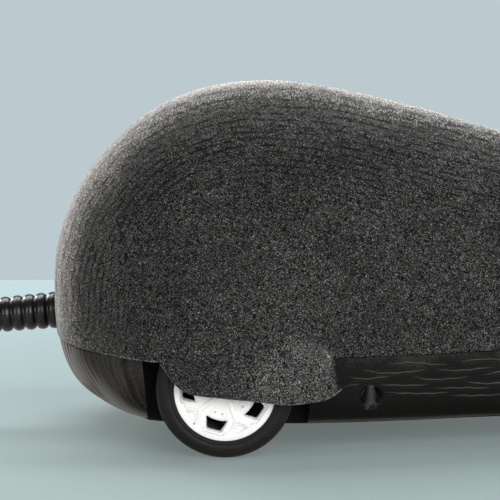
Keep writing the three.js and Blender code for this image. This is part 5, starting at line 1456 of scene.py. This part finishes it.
def floorFinish():
    # Frosted acrylic sheet, pale blue-green, paler and bluer towards its back: the darker front is painted
    # shadow, the toy's shadow falling forward. Its faint glow is painted light that lifts the shade under
    # the toy; the toy gets a neutral light from it
    material, tree, shader, place = startMaterial("frosted acrylic sheet", {
        "Roughness": 0.75, "Specular IOR Level": 0.2, "Emission Strength": 0.33})
    parts = addNode(tree, "SeparateXYZ", links={"Vector": place})
    # painted shadow: darker towards the front
    depth = addNode(tree, "MapRange", {"From Min": -0.12, "From Max": 0.16}, {"Value": parts.outputs["Y"]})
    seen = rampOf(tree, depth.outputs["Result"], [(0.0, "#6b7876"), (1.0, "#7d9196")])
    path = addNode(tree, "LightPath")
    colour = addNode(tree, "MixRGB", {"Color1": linear("#a0a09e")}, {"Fac": path.outputs["Is Camera Ray"],
                                                                       "Color2": seen})
    # Painted light: the floor's glow lifts the shade under the toy
    glow = addNode(tree, "MixRGB", {"Color1": linear("#aaaaa8"), "Color2": linear("#a5b3b1")},
                   {"Fac": path.outputs["Is Camera Ray"]})
    tree.links.new(colour.outputs["Color"], shader.inputs["Base Color"])
    tree.links.new(glow.outputs["Color"], shader.inputs["Emission Color"])
    return material


def makeSky():
    # The camera sees a pale backdrop; the toy is lit by a dimmer neutral room
    world = bpy.data.worlds.new("studio")
    bpy.context.scene.world = world
    world.use_nodes = True
    tree = world.node_tree
    room = tree.nodes["Background"]
    room.inputs["Color"].default_value = linear(studio["ambient"])
    room.inputs["Strength"].default_value = studio["fill"]
    seen = addNode(tree, "Background", {"Color": linear(studio["sky"]), "Strength": 1.0})
    path = addNode(tree, "LightPath")
    mix = addNode(tree, "MixShader", links={0: path.outputs["Is Camera Ray"], 1: room.outputs[0],
                                            2: seen.outputs[0]})
    tree.links.new(mix.outputs[0], tree.nodes["World Output"].inputs["Surface"])


def areaLight(name, place, target, size, power, colour="#ffffff"):
    data = bpy.data.lights.new(name, "AREA")
    data.shape = "RECTANGLE"
    data.size, data.size_y = size
    data.energy = power
    data.color = linear(colour)[:3]
    light = bpy.data.objects.new(name, data)
    light.location = place
    light.rotation_euler = (Vector(target) - Vector(place)).to_track_quat("-Z", "Y").to_euler()
    bpy.context.scene.collection.objects.link(light)


def makeStudio():
    bm = bmesh.new()
    made = bmesh.ops.create_grid(bm, x_segments=4, y_segments=4, size=studio["floorReach"])
    bmesh.ops.translate(bm, verts=made["verts"], vec=(0, studio["floorBack"] - studio["floorReach"], 0))
    mesh = bpy.data.meshes.new("floor")
    bm.to_mesh(mesh)
    bm.free()
    floor = bpy.data.objects.new("floor", mesh)
    bpy.context.scene.collection.objects.link(floor)
    mesh.materials.append(floorFinish())
    makeSky()
    for name, settings in studio["lights"].items():
        areaLight(name, **settings)
    data = bpy.data.cameras.new("camera")
    data.lens = studio["lens"]
    data.sensor_width = studio["sensor"]
    data.clip_start, data.clip_end = studio["clip"]
    camera = bpy.data.objects.new("camera", data)
    camera.location = [value * mm for value in studio["camera"]]
    camera.rotation_euler = (math.radians(studio["tilt"]), 0, 0)
    bpy.context.scene.collection.objects.link(camera)
    bpy.context.scene.camera = camera
    bpy.context.scene.view_settings.view_transform = "Standard"


makeStudio()
print("studio made")
